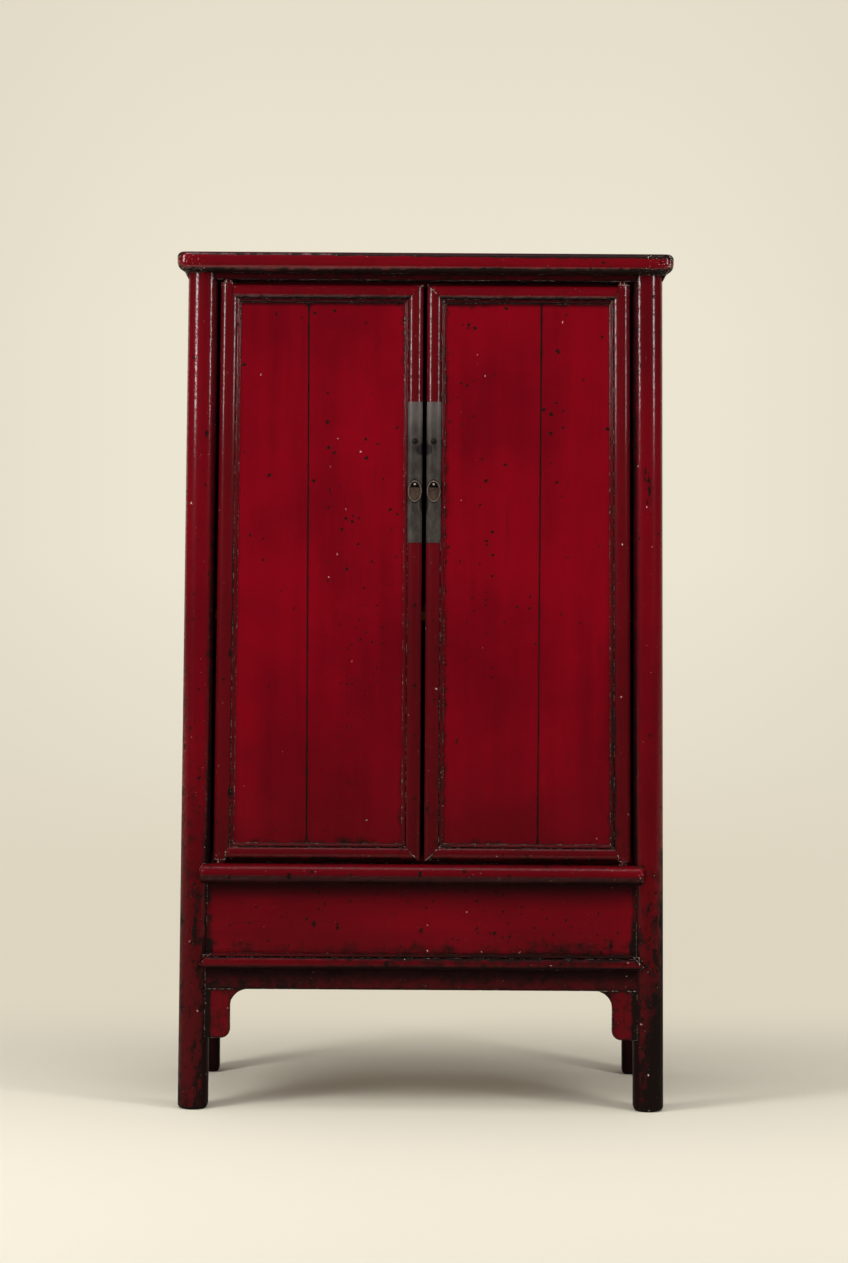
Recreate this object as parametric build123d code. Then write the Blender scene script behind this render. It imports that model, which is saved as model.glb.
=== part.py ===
from build123d import *
from math import atan, cos, sqrt
import os

# A round-corner cabinet of the wedding type: four posts that splay outwards to the feet, a mitred cap,
# two panelled doors on wooden pivots and a hidden store under lift-out floor lids.
# Millimetres, +Z up, front towards -Y, origin on the floor under the middle of the cabinet.

# ---- Whole cabinet ----
HEIGHT = 1800.0
FOOT_SPAN = 1027.0          # over the outer faces of the feet, left to right
TOP_SPAN = 991.0            # over the posts just under the cap
FOOT_DEPTH = 503.0          # over the outer faces of the feet, front to back

# ---- Posts ----
POST = 63.5
POST_OUTER_ROUND = 33.0
POST_INNER_ROUND = 29.0
POST_HIDDEN_ROUND = 10.0
FOOT_ROUND = 9.0
POST_TENON = 24.0
POST_TENON_HEIGHT = 12.0

# ---- Cap ----
CAP_THICK = 42.0
CAP_SIDE_OVERHANG = 21.0
CAP_FRONT_OVERHANG = 26.5
CAP_CORNER = 24.0
CAP_TOP_ROUND = 12.0
CAP_UNDER_ROUND = 21.0
CAP_RAIL = 80.0
CAP_TENON = 40.0
CAP_TENON_THICK = 14.0
CAP_PANEL_THICK = 14.0
CAP_PANEL_DROP = 2.0
CAP_BATTEN = 40.0
CAP_BATTEN_THICK = 22.0
COVE_OUT = 7.0
COVE_SEAT = 3.0             # how far the cove runs up into the cap's rounded underside
COVE_HEIGHT = 13.0
COVE_END = 50.0             # how far the cove stops short of the posts' front and back

# ---- Rails between the posts: heights are from the floor, setbacks from the posts' outer faces ----
TONGUE = 10.0               # how far a panel's edge enters its groove
SHORT_TONGUE = 9.0          # how far an apron, a bracket, a bearer or a batten enters its housing
TENON_LONG = 26.0
TENON_THICK = 14.0
TENON_SHOULDER = 4.0        # least height left above and below a tenon
RAIL_SETBACK = 6.0
RAIL_DEPTH = 50.0

TOP_RAIL_FACE = 14.0        # what shows of the front top rail above the doors
STOP_DROP = 18.0            # how far the stop lips reach behind the doors
STOP_GAP = 0.5
STOP_LIP = 15.0             # thickness of the top rail's stop lip

WAIST_TOP = 520.0
WAIST_HEIGHT = 40.0
WAIST_NOSING = 13.0         # how far the ledge stands out of the posts' faces
WAIST_LAP = 21.6            # how far the ledge laps over each post
WAIST_ROUND = 20.0
WAIST_DEPTH = 60.0
LEDGE_END_ROUND = 8.0

LOWER_TOP = 332.0
LOWER_HEIGHT = 32.0
LOWER_NOSING = 8.0
LOWER_BEAD = 7.0
LOWER_LAP = 21.0            # length of the mitred tip over each post
LOWER_TIP_RISE = 9.0        # height of the tip above the rail's underside

LOWER_PANEL_SETBACK = 12.0
PANEL_THICK = 14.0
APRON_SETBACK = 10.0
APRON_THICK = 16.0
APRON_BOTTOM = 255.5
BRACKET_BOTTOM = 152.0
BRACKET_WIDTH = 45.0
BRACKET_CURVE = 38.0
BRACKET_ROUND = 19.0

SIDE_TOP_RAIL = 60.0
SIDE_BOTTOM_RAIL = 45.0
SIDE_PANEL_SETBACK = 16.0
SIDE_BRACKET_WIDTH = 36.0

# ---- Floors, lids and shelf ----
LID_THICK = 16.0
LID_REST = 14.0             # width of the rabbets that carry the lids
LID_EDGE_GAP = 2.0
LID_SIDE_GAP = 4.0
LID_SPLIT = 2.0
LID_BEARER = 44.0
LID_BEARER_THICK = 24.0
BOTTOM_BOARD_THICK = 16.0
BOTTOM_BOARD_RISE = 4.0     # above the underside of the lower rail
SHELF_TOP = 1048.0
SHELF_THICK = 18.0
SHELF_SETBACK = 78.0
SHELF_GAP = 0.2
SHELF_BEARER = 24.0
SHELF_BEARER_DEPTH = 28.0

# ---- Doors ----
DOOR_BOTTOM_GAP = 9.0
DOOR_TOP_GAP = 7.0
DOOR_THICK = 30.0
DOOR_SETBACK = 8.0
DOOR_SIDE_GAP = 5.5
DOOR_MIDDLE_GAP = 9.0
PIVOT_STILE = 43.0
MEETING_STILE = 39.0
DOOR_TOP_RAIL = 40.5
DOOR_BOTTOM_RAIL = 35.5
PIVOT_RADIUS = 10.0
PIVOT_FIT = 0.08
PIVOT_TOP_REACH = 7.0       # how far each pivot enters its rail
PIVOT_BOTTOM_REACH = 6.0
PIVOT_END_GAP = 0.3
PIVOT_ROOT = 4.0            # how far each pivot is rooted in its stile
FACE_DROP = 8.0             # how far the moulded face falls back at its edges
QUIRK = 8.5                 # distance of the quirk from the panel
BEAD_WIDTH = 7.0
BEAD_RISE = 3.2
PANEL_RECESS = 10.0
PANEL_LIP = 1.0             # edge of the moulding over the panel
DOOR_PANEL_THICK = 12.0
DOOR_TONGUE = 8.0
MITRE_STOP = 17.5           # how far the mitre runs before the pivot stile passes by
DOOR_TENON_HEIGHT = 16.0
DOOR_TENON_THICK = 8.0
DOOR_TENON_SHOULDER = 2.0
BOARD_SPLIT = 243.0         # joint between the two boards, from the middle of the cabinet
BOARD_CRACK = 0.5
BATTEN_WIDTH = 34.0
BATTEN_TAPER = 4.0
BATTEN_SEAT = 3.0
BATTEN_HEIGHTS = (760.0, 1130.0, 1500.0)

# ---- Door hardware ----
PLATE_THICK = 1.2
PLATE_BOTTOM = 1197.5
PLATE_HEIGHT = 294.0
STUD_UP = 211.5             # lock stud above the plate's lower end
STUD_RADIUS = 5.2
STUD_LENGTH = 13.0
STUD_NECK = 2.6
STUD_UNDERCUT = 1.0         # how much narrower the head is at its base
STUD_STANDOFF = 5.0         # neck that shows between the plate's crown and the head
SHANK_IN = 14.0             # length of each stud inside the stile
PULL_WIDTH = 29.0
PULL_HEIGHT = 45.0
PULL_THICK = 3.0
PULL_UP = 130.0             # top of the pull above the plate's lower end
PULL_ARCH = 1.8             # radius of the round bar over the pull's mouth, on which it swings
PULL_ARCH_LENGTH = 8.0
PULL_MOUTH = 20.0
PULL_MOUTH_HEIGHT = 11.4
PULL_RIM = 0.8
PULL_LIP = 1.7              # width of the raised lip round the pull's dished front
PULL_DISH = 0.7
PULL_SHANK = 4.2            # radius of the stud inside the pull's mouth
PULL_HEAD = 5.2             # radius of the head that keeps the pull on
PULL_HEAD_EDGE = 0.8
PULL_HEAD_RISE = 0.8
PULL_BEAD = 1.8             # radius of the bead on the head
PULL_CLEAR = 0.3
PULL_GAP = 1.3              # between the plate and the hanging pull

# ---- What follows from the sizes above ----
CAP_UNDER = HEIGHT - CAP_THICK
SPLAY = (FOOT_SPAN - TOP_SPAN) / 2 / CAP_UNDER
LEAN = atan(SPLAY)
SLOPE = SPLAY * cos(LEAN)
TOP_DEPTH = FOOT_DEPTH - 2 * SPLAY * CAP_UNDER
CAP_LENGTH = TOP_SPAN + 2 * CAP_SIDE_OVERHANG
CAP_DEPTH = TOP_DEPTH + 2 * CAP_FRONT_OVERHANG
DOOR_TOP = CAP_UNDER - TOP_RAIL_FACE - DOOR_TOP_GAP
DOOR_BACK = DOOR_SETBACK + DOOR_THICK
PIVOT_INSET = DOOR_THICK / 2
DOOR_BOTTOM = WAIST_TOP + DOOR_BOTTOM_GAP
WAIST_UNDER = WAIST_TOP - WAIST_HEIGHT
LOWER_UNDER = LOWER_TOP - LOWER_HEIGHT
REACH = 2 * (HEIGHT + FOOT_SPAN)

# Each face of the cabinet is a leaning plane: x runs along the face, y up it and z straight out of it.
FRONT = Plane(origin=(0, -FOOT_DEPTH / 2, 0), x_dir=(1, 0, 0), z_dir=(0, -1, SPLAY))
LEFT = Plane(origin=(-FOOT_SPAN / 2, 0, 0), x_dir=(0, -1, 0), z_dir=(-1, 0, SPLAY))


def block(low, high):
    """A square-edged block between two corners."""
    size = [b - a for a, b in zip(low, high)]
    middle = [(a + b) / 2 for a, b in zip(low, high)]
    return Pos(*middle) * Box(*size)


def outline(*parts):
    """A flat face inside the closed chain of the lines and arcs given."""
    return make_face(Curve() + list(parts))


def polygon(*points):
    """A flat face inside the points given."""
    return make_face(Polyline(*points, close=True))


def bar(face, length):
    """A bar along a cabinet face, from its section in (height, outwards)."""
    return extrude(Plane.YZ * face, length / 2, both=True)


def sheet(face, outwards, thick):
    """A sheet in a cabinet face, from its outline in (along, height), with its front at outwards."""
    return extrude(Pos(0, 0, outwards) * face, -thick)


def half_inner(half_foot, up):
    """From the middle of a cabinet face to the inner side of its posts, at a height."""
    return half_foot - POST - SLOPE * up


def tapered(half_foot, low, high, extra):
    """Outline between two posts from low to high, reaching extra into each post."""
    a = half_inner(half_foot, low) + extra
    b = half_inner(half_foot, high) + extra
    return polygon((-a, low), (a, low), (b, high), (-b, high))


def mirrored(piece):
    """The same piece on the other side, left to right."""
    return mirror(piece, Plane.YZ)


def turned(piece):
    """The same piece on the other side, front to back."""
    return mirror(piece, Plane.XZ)


def solid(shape):
    """The one solid that a shape holds."""
    return shape.solids()[0]


# ---- Posts ----
def make_post():
    """Front left post: it leans in both directions, with a large round on its outer corner."""
    x, y = -FOOT_SPAN / 2, -FOOT_DEPTH / 2
    corners = ((x, y), (x + POST, y), (x + POST, y + POST), (x, y + POST))
    rounds = (POST_OUTER_ROUND, POST_INNER_ROUND, POST_HIDDEN_ROUND, POST_INNER_ROUND)
    section = make_face(FilletPolyline(*corners, radius=rounds, close=True))
    rise = Vector(SPLAY * CAP_UNDER, SPLAY * CAP_UNDER, CAP_UNDER)
    post = extrude(section, rise.length, dir=rise)
    post = fillet(post.faces().sort_by(Axis.Z)[0].edges(), FOOT_ROUND)
    middle = Vector(x + POST / 2 + rise.X, y + POST / 2 + rise.Y, CAP_UNDER)
    tenon = Pos(middle.X, middle.Y, CAP_UNDER + POST_TENON_HEIGHT / 2)
    return post + tenon * Box(POST_TENON, POST_TENON, POST_TENON_HEIGHT)


front_left_post = make_post()
front_right_post = mirrored(front_left_post)
back_left_post = turned(front_left_post)
back_right_post = mirrored(back_left_post)
front_posts = front_left_post + front_right_post
left_posts = front_left_post + back_left_post
all_posts = front_posts + turned(front_posts)
above_cap = block((-REACH, -REACH, CAP_UNDER), (REACH, REACH, REACH))


def tenons(half_foot, low, high, setback):
    """The pair of tenons on a rail's ends, in its cabinet face."""
    room = high - low - 2 * TENON_SHOULDER
    middle = (low + high) / 2
    reach = 2 * (half_inner(half_foot, middle) + TENON_LONG)
    return Pos(0, middle, -setback - TENON_THICK / 2) * Box(reach, room, TENON_THICK)


def fitted(blank, posts, peg):
    """A rail blank cut to the posts' shape, with its tenons left on."""
    return (blank - posts - above_cap) + (peg - above_cap)


def blank_length(half_foot, up):
    """Length of a rail blank whose ends lie inside the posts."""
    return 2 * half_inner(half_foot, up) + POST


# ---- Front rails ----
def make_top_rail():
    """Front top rail: a low face over the doors, and a stop lip behind them."""
    low = CAP_UNDER - TOP_RAIL_FACE
    back = DOOR_BACK + STOP_GAP + STOP_LIP
    section = polygon(
        (low, -RAIL_SETBACK),
        (HEIGHT, -RAIL_SETBACK),
        (HEIGHT, -back),
        (low - STOP_DROP, -back),
        (low - STOP_DROP, -DOOR_BACK - STOP_GAP),
        (low, -DOOR_BACK - STOP_GAP),
    )
    peg = tenons(FOOT_SPAN / 2, low - STOP_DROP, CAP_UNDER, DOOR_BACK + STOP_GAP)
    blank = bar(section, blank_length(FOOT_SPAN / 2, CAP_UNDER))
    return fitted(FRONT * blank, front_posts, FRONT * peg)


def make_waist_rail():
    """Waist rail: a half-round ledge laps over the posts, and a rabbet behind carries the lids."""
    middle = WAIST_TOP - WAIST_HEIGHT / 2
    start = WAIST_NOSING - WAIST_ROUND
    lip = DOOR_BACK + STOP_GAP
    section = outline(
        ThreePointArc((WAIST_UNDER, start), (middle, WAIST_NOSING), (WAIST_TOP, start)),
        Polyline(
            (WAIST_TOP, start),
            (WAIST_TOP, -lip),
            (WAIST_TOP + STOP_DROP, -lip),
            (WAIST_TOP + STOP_DROP, LID_REST - WAIST_DEPTH),
            (WAIST_TOP - LID_THICK, LID_REST - WAIST_DEPTH),
            (WAIST_TOP - LID_THICK, -WAIST_DEPTH),
            (WAIST_UNDER, -WAIST_DEPTH),
            (WAIST_UNDER, start),
        ),
    )
    length = 2 * (half_inner(FOOT_SPAN / 2, middle) + WAIST_LAP)
    ledge = bar(section, length)
    ends = ledge.faces().filter_by(Axis.X)
    nose = [edge for edge in ends.edges() if edge.geom_type == GeomType.CIRCLE]
    ledge = fillet(nose, LEDGE_END_ROUND)
    peg = tenons(FOOT_SPAN / 2, WAIST_UNDER, WAIST_TOP, RAIL_SETBACK)
    return fitted(FRONT * ledge, front_posts, FRONT * peg)


def make_lower_rail():
    """Lower rail: a bead over a rounded face, with mitred tips that lap over the posts."""
    quirk = LOWER_TOP - LOWER_BEAD
    nose = (LOWER_UNDER + quirk) / 2
    section = outline(
        ThreePointArc((LOWER_UNDER, -LOWER_NOSING / 2), (nose, LOWER_NOSING), (quirk, -LOWER_NOSING / 4)),
        ThreePointArc(
            (quirk, -LOWER_NOSING / 4),
            (quirk + LOWER_BEAD / 2, LOWER_NOSING / 4),
            (LOWER_TOP, -LOWER_NOSING / 4),
        ),
        Polyline(
            (LOWER_TOP, -LOWER_NOSING / 4),
            (LOWER_TOP, -RAIL_DEPTH),
            (LOWER_UNDER, -RAIL_DEPTH),
            (LOWER_UNDER, -LOWER_NOSING / 2),
        ),
    )
    inner = half_inner(FOOT_SPAN / 2, LOWER_TOP)
    tip = LOWER_UNDER + LOWER_TIP_RISE
    side = inner + LOWER_LAP
    shape = polygon(
        (inner - TENON_SHOULDER, LOWER_TOP),
        (side, tip),
        (side - LOWER_TIP_RISE, LOWER_UNDER),
        (LOWER_TIP_RISE - side, LOWER_UNDER),
        (-side, tip),
        (TENON_SHOULDER - inner, LOWER_TOP),
    )
    blank = bar(section, FOOT_SPAN) & extrude(shape, FOOT_DEPTH / 2, both=True)
    peg = tenons(FOOT_SPAN / 2, LOWER_UNDER, LOWER_TOP, RAIL_SETBACK)
    return fitted(FRONT * blank, front_posts, FRONT * peg)


def make_back_rail(low, high, depth):
    """A plain rail across the back, drawn on the front face and turned round later."""
    section = polygon((low, -RAIL_SETBACK), (high, -RAIL_SETBACK), (high, -depth), (low, -depth))
    peg = tenons(FOOT_SPAN / 2, low, min(high, CAP_UNDER), RAIL_SETBACK)
    blank = bar(section, blank_length(FOOT_SPAN / 2, high))
    return fitted(FRONT * blank, front_posts, FRONT * peg)


def make_side_rail(low, high):
    """A plain rail across the left side."""
    section = polygon((low, -RAIL_SETBACK), (high, -RAIL_SETBACK), (high, -RAIL_DEPTH), (low, -RAIL_DEPTH))
    peg = tenons(FOOT_DEPTH / 2, low, min(high, CAP_UNDER), RAIL_SETBACK + TENON_THICK)
    blank = bar(section, blank_length(FOOT_DEPTH / 2, high))
    return fitted(LEFT * blank, left_posts, LEFT * peg)


front_top_rail = make_top_rail()
waist_rail = make_waist_rail()
front_lower_rail = make_lower_rail()
side_top = CAP_UNDER - SIDE_TOP_RAIL
side_bottom = LOWER_UNDER + SIDE_BOTTOM_RAIL
back_top_rail = make_back_rail(side_top, HEIGHT, RAIL_DEPTH)
back_waist_rail = make_back_rail(WAIST_UNDER, WAIST_TOP, WAIST_DEPTH)
back_lower_rail = make_back_rail(LOWER_UNDER, LOWER_TOP, RAIL_DEPTH)
left_top_rail = make_side_rail(side_top, HEIGHT)
left_bottom_rail = make_side_rail(LOWER_UNDER, side_bottom)

# The lids' rabbet in the back waist rail.
inner_back = FOOT_DEPTH / 2 - SPLAY * WAIST_TOP - WAIST_DEPTH
rabbet = block(
    (-FOOT_SPAN / 2, -inner_back - LID_REST, WAIST_TOP - LID_THICK),
    (FOOT_SPAN / 2, -inner_back + LID_REST, HEIGHT),
)
back_waist_rail -= rabbet


# ---- Panels between the rails ----
def panel(half_foot, low, high, setback):
    """A panel between the posts and between two rails, with a tongue all round."""
    return sheet(tapered(half_foot, low - TONGUE, high + TONGUE, TONGUE), -setback, PANEL_THICK)


lower_panel = FRONT * panel(FOOT_SPAN / 2, LOWER_TOP, WAIST_UNDER, LOWER_PANEL_SETBACK)
back_lower_panel = FRONT * panel(FOOT_SPAN / 2, LOWER_TOP, WAIST_UNDER, SIDE_PANEL_SETBACK)
back_upper_panel = FRONT * panel(FOOT_SPAN / 2, WAIST_TOP, side_top, SIDE_PANEL_SETBACK)
left_panel = LEFT * panel(FOOT_DEPTH / 2, side_bottom, side_top, SIDE_PANEL_SETBACK)


# ---- Aprons and brackets ----
def bracket_outline(half_foot, width):
    """Left bracket under an apron: straight to the post, hollow above and rounded below."""
    post_top = -half_inner(half_foot, APRON_BOTTOM) - SHORT_TONGUE
    post_low = -half_inner(half_foot, BRACKET_BOTTOM) - SHORT_TONGUE
    inner = width - half_inner(half_foot, APRON_BOTTOM)
    wide = inner + BRACKET_CURVE
    hollow = APRON_BOTTOM - BRACKET_CURVE
    rounded = BRACKET_BOTTOM + BRACKET_ROUND
    bow = BRACKET_CURVE * (1 - 1 / sqrt(2))
    corner = BRACKET_ROUND * (1 - 1 / sqrt(2))
    return outline(
        Polyline(
            (inner - BRACKET_ROUND, BRACKET_BOTTOM),
            (post_low, BRACKET_BOTTOM),
            (post_top, APRON_BOTTOM),
            (wide, APRON_BOTTOM),
        ),
        ThreePointArc((wide, APRON_BOTTOM), (inner + bow, APRON_BOTTOM - bow), (inner, hollow)),
        Line((inner, hollow), (inner, rounded)),
        ThreePointArc(
            (inner, rounded),
            (inner - corner, BRACKET_BOTTOM + corner),
            (inner - BRACKET_ROUND, BRACKET_BOTTOM),
        ),
    )


def apron_strip(half_foot):
    """The straight strip of an apron, under its rail."""
    strip = tapered(half_foot, APRON_BOTTOM, LOWER_UNDER, SHORT_TONGUE)
    return sheet(strip, -APRON_SETBACK, APRON_THICK)


def bracket(half_foot, width):
    """The bracket under an apron's left end."""
    return sheet(bracket_outline(half_foot, width), -APRON_SETBACK, APRON_THICK)


front_apron = FRONT * apron_strip(FOOT_SPAN / 2)
front_left_bracket = FRONT * bracket(FOOT_SPAN / 2, BRACKET_WIDTH)
front_right_bracket = mirrored(front_left_bracket)
side_bracket = bracket(FOOT_DEPTH / 2, SIDE_BRACKET_WIDTH)
left_apron = LEFT * (apron_strip(FOOT_DEPTH / 2) + side_bracket + mirrored(side_bracket))


# ---- Floors, lids and shelf ----
def inner_side(up, setback):
    """From the middle to the inside of what stands setback behind the side faces, at a height."""
    return FOOT_SPAN / 2 - SPLAY * up - setback


def inner_end(up, setback):
    """From the middle to the inside of what stands setback behind the front or back face."""
    return FOOT_DEPTH / 2 - SPLAY * up - setback


def make_bottom_board():
    """Board under the hidden store: its edges lie in the four lower rails and it is cut round the posts."""
    low = LOWER_UNDER + BOTTOM_BOARD_RISE
    high = low + BOTTOM_BOARD_THICK
    x = inner_side(high, RAIL_DEPTH) + TONGUE
    y = inner_end(high, RAIL_DEPTH) + TONGUE
    return block((-x, -y, low), (x, y, high)) - all_posts


def make_lid():
    """Left lift-out lid: it rests on the front and back rabbets and has clear notches at the posts."""
    low = WAIST_TOP - LID_THICK
    x = inner_side(WAIST_TOP, SIDE_PANEL_SETBACK + PANEL_THICK) - LID_SIDE_GAP
    y = inner_end(WAIST_TOP, WAIST_DEPTH) + LID_REST - LID_EDGE_GAP
    post_x = inner_side(WAIST_TOP, POST) - LID_SIDE_GAP
    post_y = inner_end(WAIST_TOP, POST) - LID_SIDE_GAP
    board = block((-x, -y, low), (-LID_SPLIT / 2, y, WAIST_TOP))
    notch = block((-REACH, post_y, 0), (-post_x, REACH, HEIGHT))
    return board - notch - turned(notch)


def make_lid_bearer():
    """Bearer under the split between the lids, let into the waist rails."""
    high = WAIST_TOP - LID_THICK
    y = inner_end(WAIST_TOP, WAIST_DEPTH) + TONGUE
    return block((-LID_BEARER / 2, -y, high - LID_BEARER_THICK), (LID_BEARER / 2, y, high))


def make_shelf():
    """Shelf between the side panels, set back behind the doors and cut round the back posts."""
    low = SHELF_TOP - SHELF_THICK
    x = inner_side(SHELF_TOP, SIDE_PANEL_SETBACK + PANEL_THICK) - SHELF_GAP
    front = inner_end(SHELF_TOP, SHELF_SETBACK)
    back = inner_end(SHELF_TOP, SIDE_PANEL_SETBACK + PANEL_THICK) - SHELF_GAP
    return block((-x, -front, low), (x, back, SHELF_TOP)) - all_posts


def make_shelf_bearer():
    """Left bearer: against the side panel, with its ends let into the posts."""
    high = SHELF_TOP - SHELF_THICK
    back = SIDE_PANEL_SETBACK + PANEL_THICK
    section = polygon(
        (high - SHELF_BEARER, -back),
        (HEIGHT, -back),
        (HEIGHT, -back - SHELF_BEARER_DEPTH),
        (high - SHELF_BEARER, -back - SHELF_BEARER_DEPTH),
    )
    length = 2 * (half_inner(FOOT_DEPTH / 2, high) + SHORT_TONGUE)
    above = block((-REACH, -REACH, high), (REACH, REACH, REACH))
    return LEFT * bar(section, length) - above


bottom_board = make_bottom_board()
left_floor_lid = make_lid()
lid_bearer = make_lid_bearer()
shelf = make_shelf()
left_shelf_bearer = make_shelf_bearer()


# ---- Cap ----
def make_cap():
    """Cap: four rounded rails mitred round a floating panel, with a batten across underneath."""
    x, y = CAP_LENGTH / 2, CAP_DEPTH / 2
    slab = block((-x, -y, CAP_UNDER), (x, y, HEIGHT))
    slab = fillet(slab.edges().filter_by(Axis.Z), CAP_CORNER)
    slab = fillet(slab.faces().sort_by(Axis.Z)[0].edges(), CAP_UNDER_ROUND)
    slab = fillet(slab.faces().sort_by(Axis.Z)[-1].edges(), CAP_TOP_ROUND)
    inner_x, inner_y = x - CAP_RAIL, y - CAP_RAIL
    front_area = polygon((-x, -y), (x, -y), (inner_x, -inner_y), (-inner_x, -inner_y))
    left_area = polygon((-x, -y), (-inner_x, -inner_y), (-inner_x, inner_y), (-x, y))
    front = slab & extrude(front_area, REACH)
    left = slab & extrude(left_area, REACH)
    panel_top = HEIGHT - CAP_PANEL_DROP
    panel_low = panel_top - CAP_PANEL_THICK
    panel_x, panel_y = inner_x + TONGUE, inner_y + TONGUE
    board = block((-panel_x, -panel_y, panel_low), (panel_x, panel_y, panel_top))
    batten = block(
        (-CAP_BATTEN / 2, -panel_y, panel_low - CAP_BATTEN_THICK + BATTEN_SEAT),
        (CAP_BATTEN / 2, panel_y, panel_low + BATTEN_SEAT),
    )
    board -= batten
    peg_x = inner_x + (CAP_RAIL - CAP_TENON) / 2
    peg_z = CAP_UNDER + POST_TENON_HEIGHT
    peg = block(
        (-peg_x - CAP_TENON, -inner_y - CAP_RAIL + CAP_UNDER_ROUND, peg_z),
        (-peg_x, -inner_y - (CAP_RAIL - CAP_TENON) / 2, peg_z + CAP_TENON_THICK),
    )
    pegs = peg + turned(peg)
    left = left + (pegs & extrude(polygon((-x, -y), (0, -y), (0, y), (-x, y)), REACH))
    cove_low = (inner_side(CAP_UNDER - COVE_HEIGHT, 0), CAP_UNDER - COVE_HEIGHT)
    cove_high = (inner_side(CAP_UNDER, 0), CAP_UNDER)
    wedge = polygon(
        (-cove_low[0], cove_low[1]),
        (-cove_high[0] + COVE_OUT, CAP_UNDER - COVE_HEIGHT),
        (-cove_high[0] + COVE_OUT, CAP_UNDER + COVE_SEAT),
        (-cove_high[0] - COVE_OUT, CAP_UNDER + COVE_SEAT),
        (-cove_high[0] - COVE_OUT, CAP_UNDER),
    )
    cove = extrude(Plane.XZ * wedge, CAP_DEPTH / 2 - COVE_END, both=True)
    cove = cove & block((-REACH, -REACH, 0), (-cove_high[0], REACH, REACH))
    left = left + (cove - left_posts)
    front = front - pegs - mirrored(pegs) - board - batten - all_posts
    return front, left - board - all_posts, board, batten


cap_front_rail, cap_left_rail, cap_panel, cap_batten = make_cap()


# ---- Doors: the left one is drawn, in the front face, and mirrored for the right ----
def door_edge(up):
    """Outer edge of the left door, at a height: it leans with the post beside it."""
    return DOOR_SIDE_GAP - half_inner(FOOT_SPAN / 2, up)


MEETING_EDGE = -DOOR_MIDDLE_GAP / 2
LOW_INNER = DOOR_BOTTOM + DOOR_BOTTOM_RAIL
HIGH_INNER = DOOR_TOP - DOOR_TOP_RAIL
MEETING_INNER = MEETING_EDGE - MEETING_STILE

# Each door member has a plane whose x runs from its outer edge to the panel and whose y runs inwards.
PIVOT_PLANE = Plane(origin=(door_edge(0), 0, -DOOR_SETBACK), x_dir=(1, -SLOPE, 0), z_dir=(SLOPE, 1, 0))
MEETING_PLANE = Plane(origin=(MEETING_EDGE, 0, -DOOR_SETBACK), x_dir=(-1, 0, 0), z_dir=(0, -1, 0))
TOP_PLANE = Plane(origin=(0, DOOR_TOP, -DOOR_SETBACK), x_dir=(0, -1, 0), z_dir=(1, 0, 0))
BOTTOM_PLANE = Plane(origin=(0, DOOR_BOTTOM, -DOOR_SETBACK), x_dir=(0, 1, 0), z_dir=(-1, 0, 0))


def panel_side(width):
    """The end of a door moulding beside the panel: a quirk, a bead and a low lip."""
    quirk = width - QUIRK
    middle = quirk + BEAD_WIDTH / 2
    bead_end = quirk + BEAD_WIDTH
    return [
        ThreePointArc((quirk, FACE_DROP), (middle, FACE_DROP - BEAD_RISE), (bead_end, FACE_DROP)),
        Polyline((bead_end, FACE_DROP), (width, PANEL_RECESS - PANEL_LIP), (width, DOOR_THICK)),
    ]


def square_moulding(width):
    """Section of a rail or meeting stile: a rounded face that falls back at both sides."""
    quirk = width - QUIRK
    return outline(
        ThreePointArc((0, FACE_DROP), (quirk / 2, 0), (quirk, FACE_DROP)),
        *panel_side(width),
        Polyline((width, DOOR_THICK), (0, DOOR_THICK), (0, FACE_DROP)),
    )


def pivot_moulding(width):
    """Section of a pivot stile: its outer edge is a half-round about the pivot."""
    quirk = width - QUIRK
    return outline(
        ThreePointArc((PIVOT_INSET, DOOR_THICK), (0, PIVOT_INSET), (PIVOT_INSET, 0)),
        TangentArc((PIVOT_INSET, 0), (quirk, FACE_DROP), tangent=(1, 0)),
        *panel_side(width),
        Line((width, DOOR_THICK), (PIVOT_INSET, DOOR_THICK)),
    )


def prism(shape):
    """A prism through the door, from an outline in the front face."""
    return extrude(shape, FOOT_DEPTH / 2, both=True)


def member(plane, section):
    """A door member longer than the door, along its own edge."""
    return extrude(plane * section, HEIGHT, both=True)


def upright(radius, low, high):
    """A round bar along its axis's Z from low to high."""
    return Pos(0, 0, (low + high) / 2) * Cylinder(radius, high - low)


def door_tenon(x, y):
    """A tenon of a door rail, behind the mitre and clear of the panel's groove."""
    reach = MITRE_STOP + DOOR_TONGUE
    front = DOOR_SETBACK + (DOOR_THICK - DOOR_TENON_THICK) / 2
    low = (x - reach / 2, y - DOOR_TENON_HEIGHT / 2, -front - DOOR_TENON_THICK)
    high = (x + reach / 2, y + DOOR_TENON_HEIGHT / 2, -front)
    return block(low, high)


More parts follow.
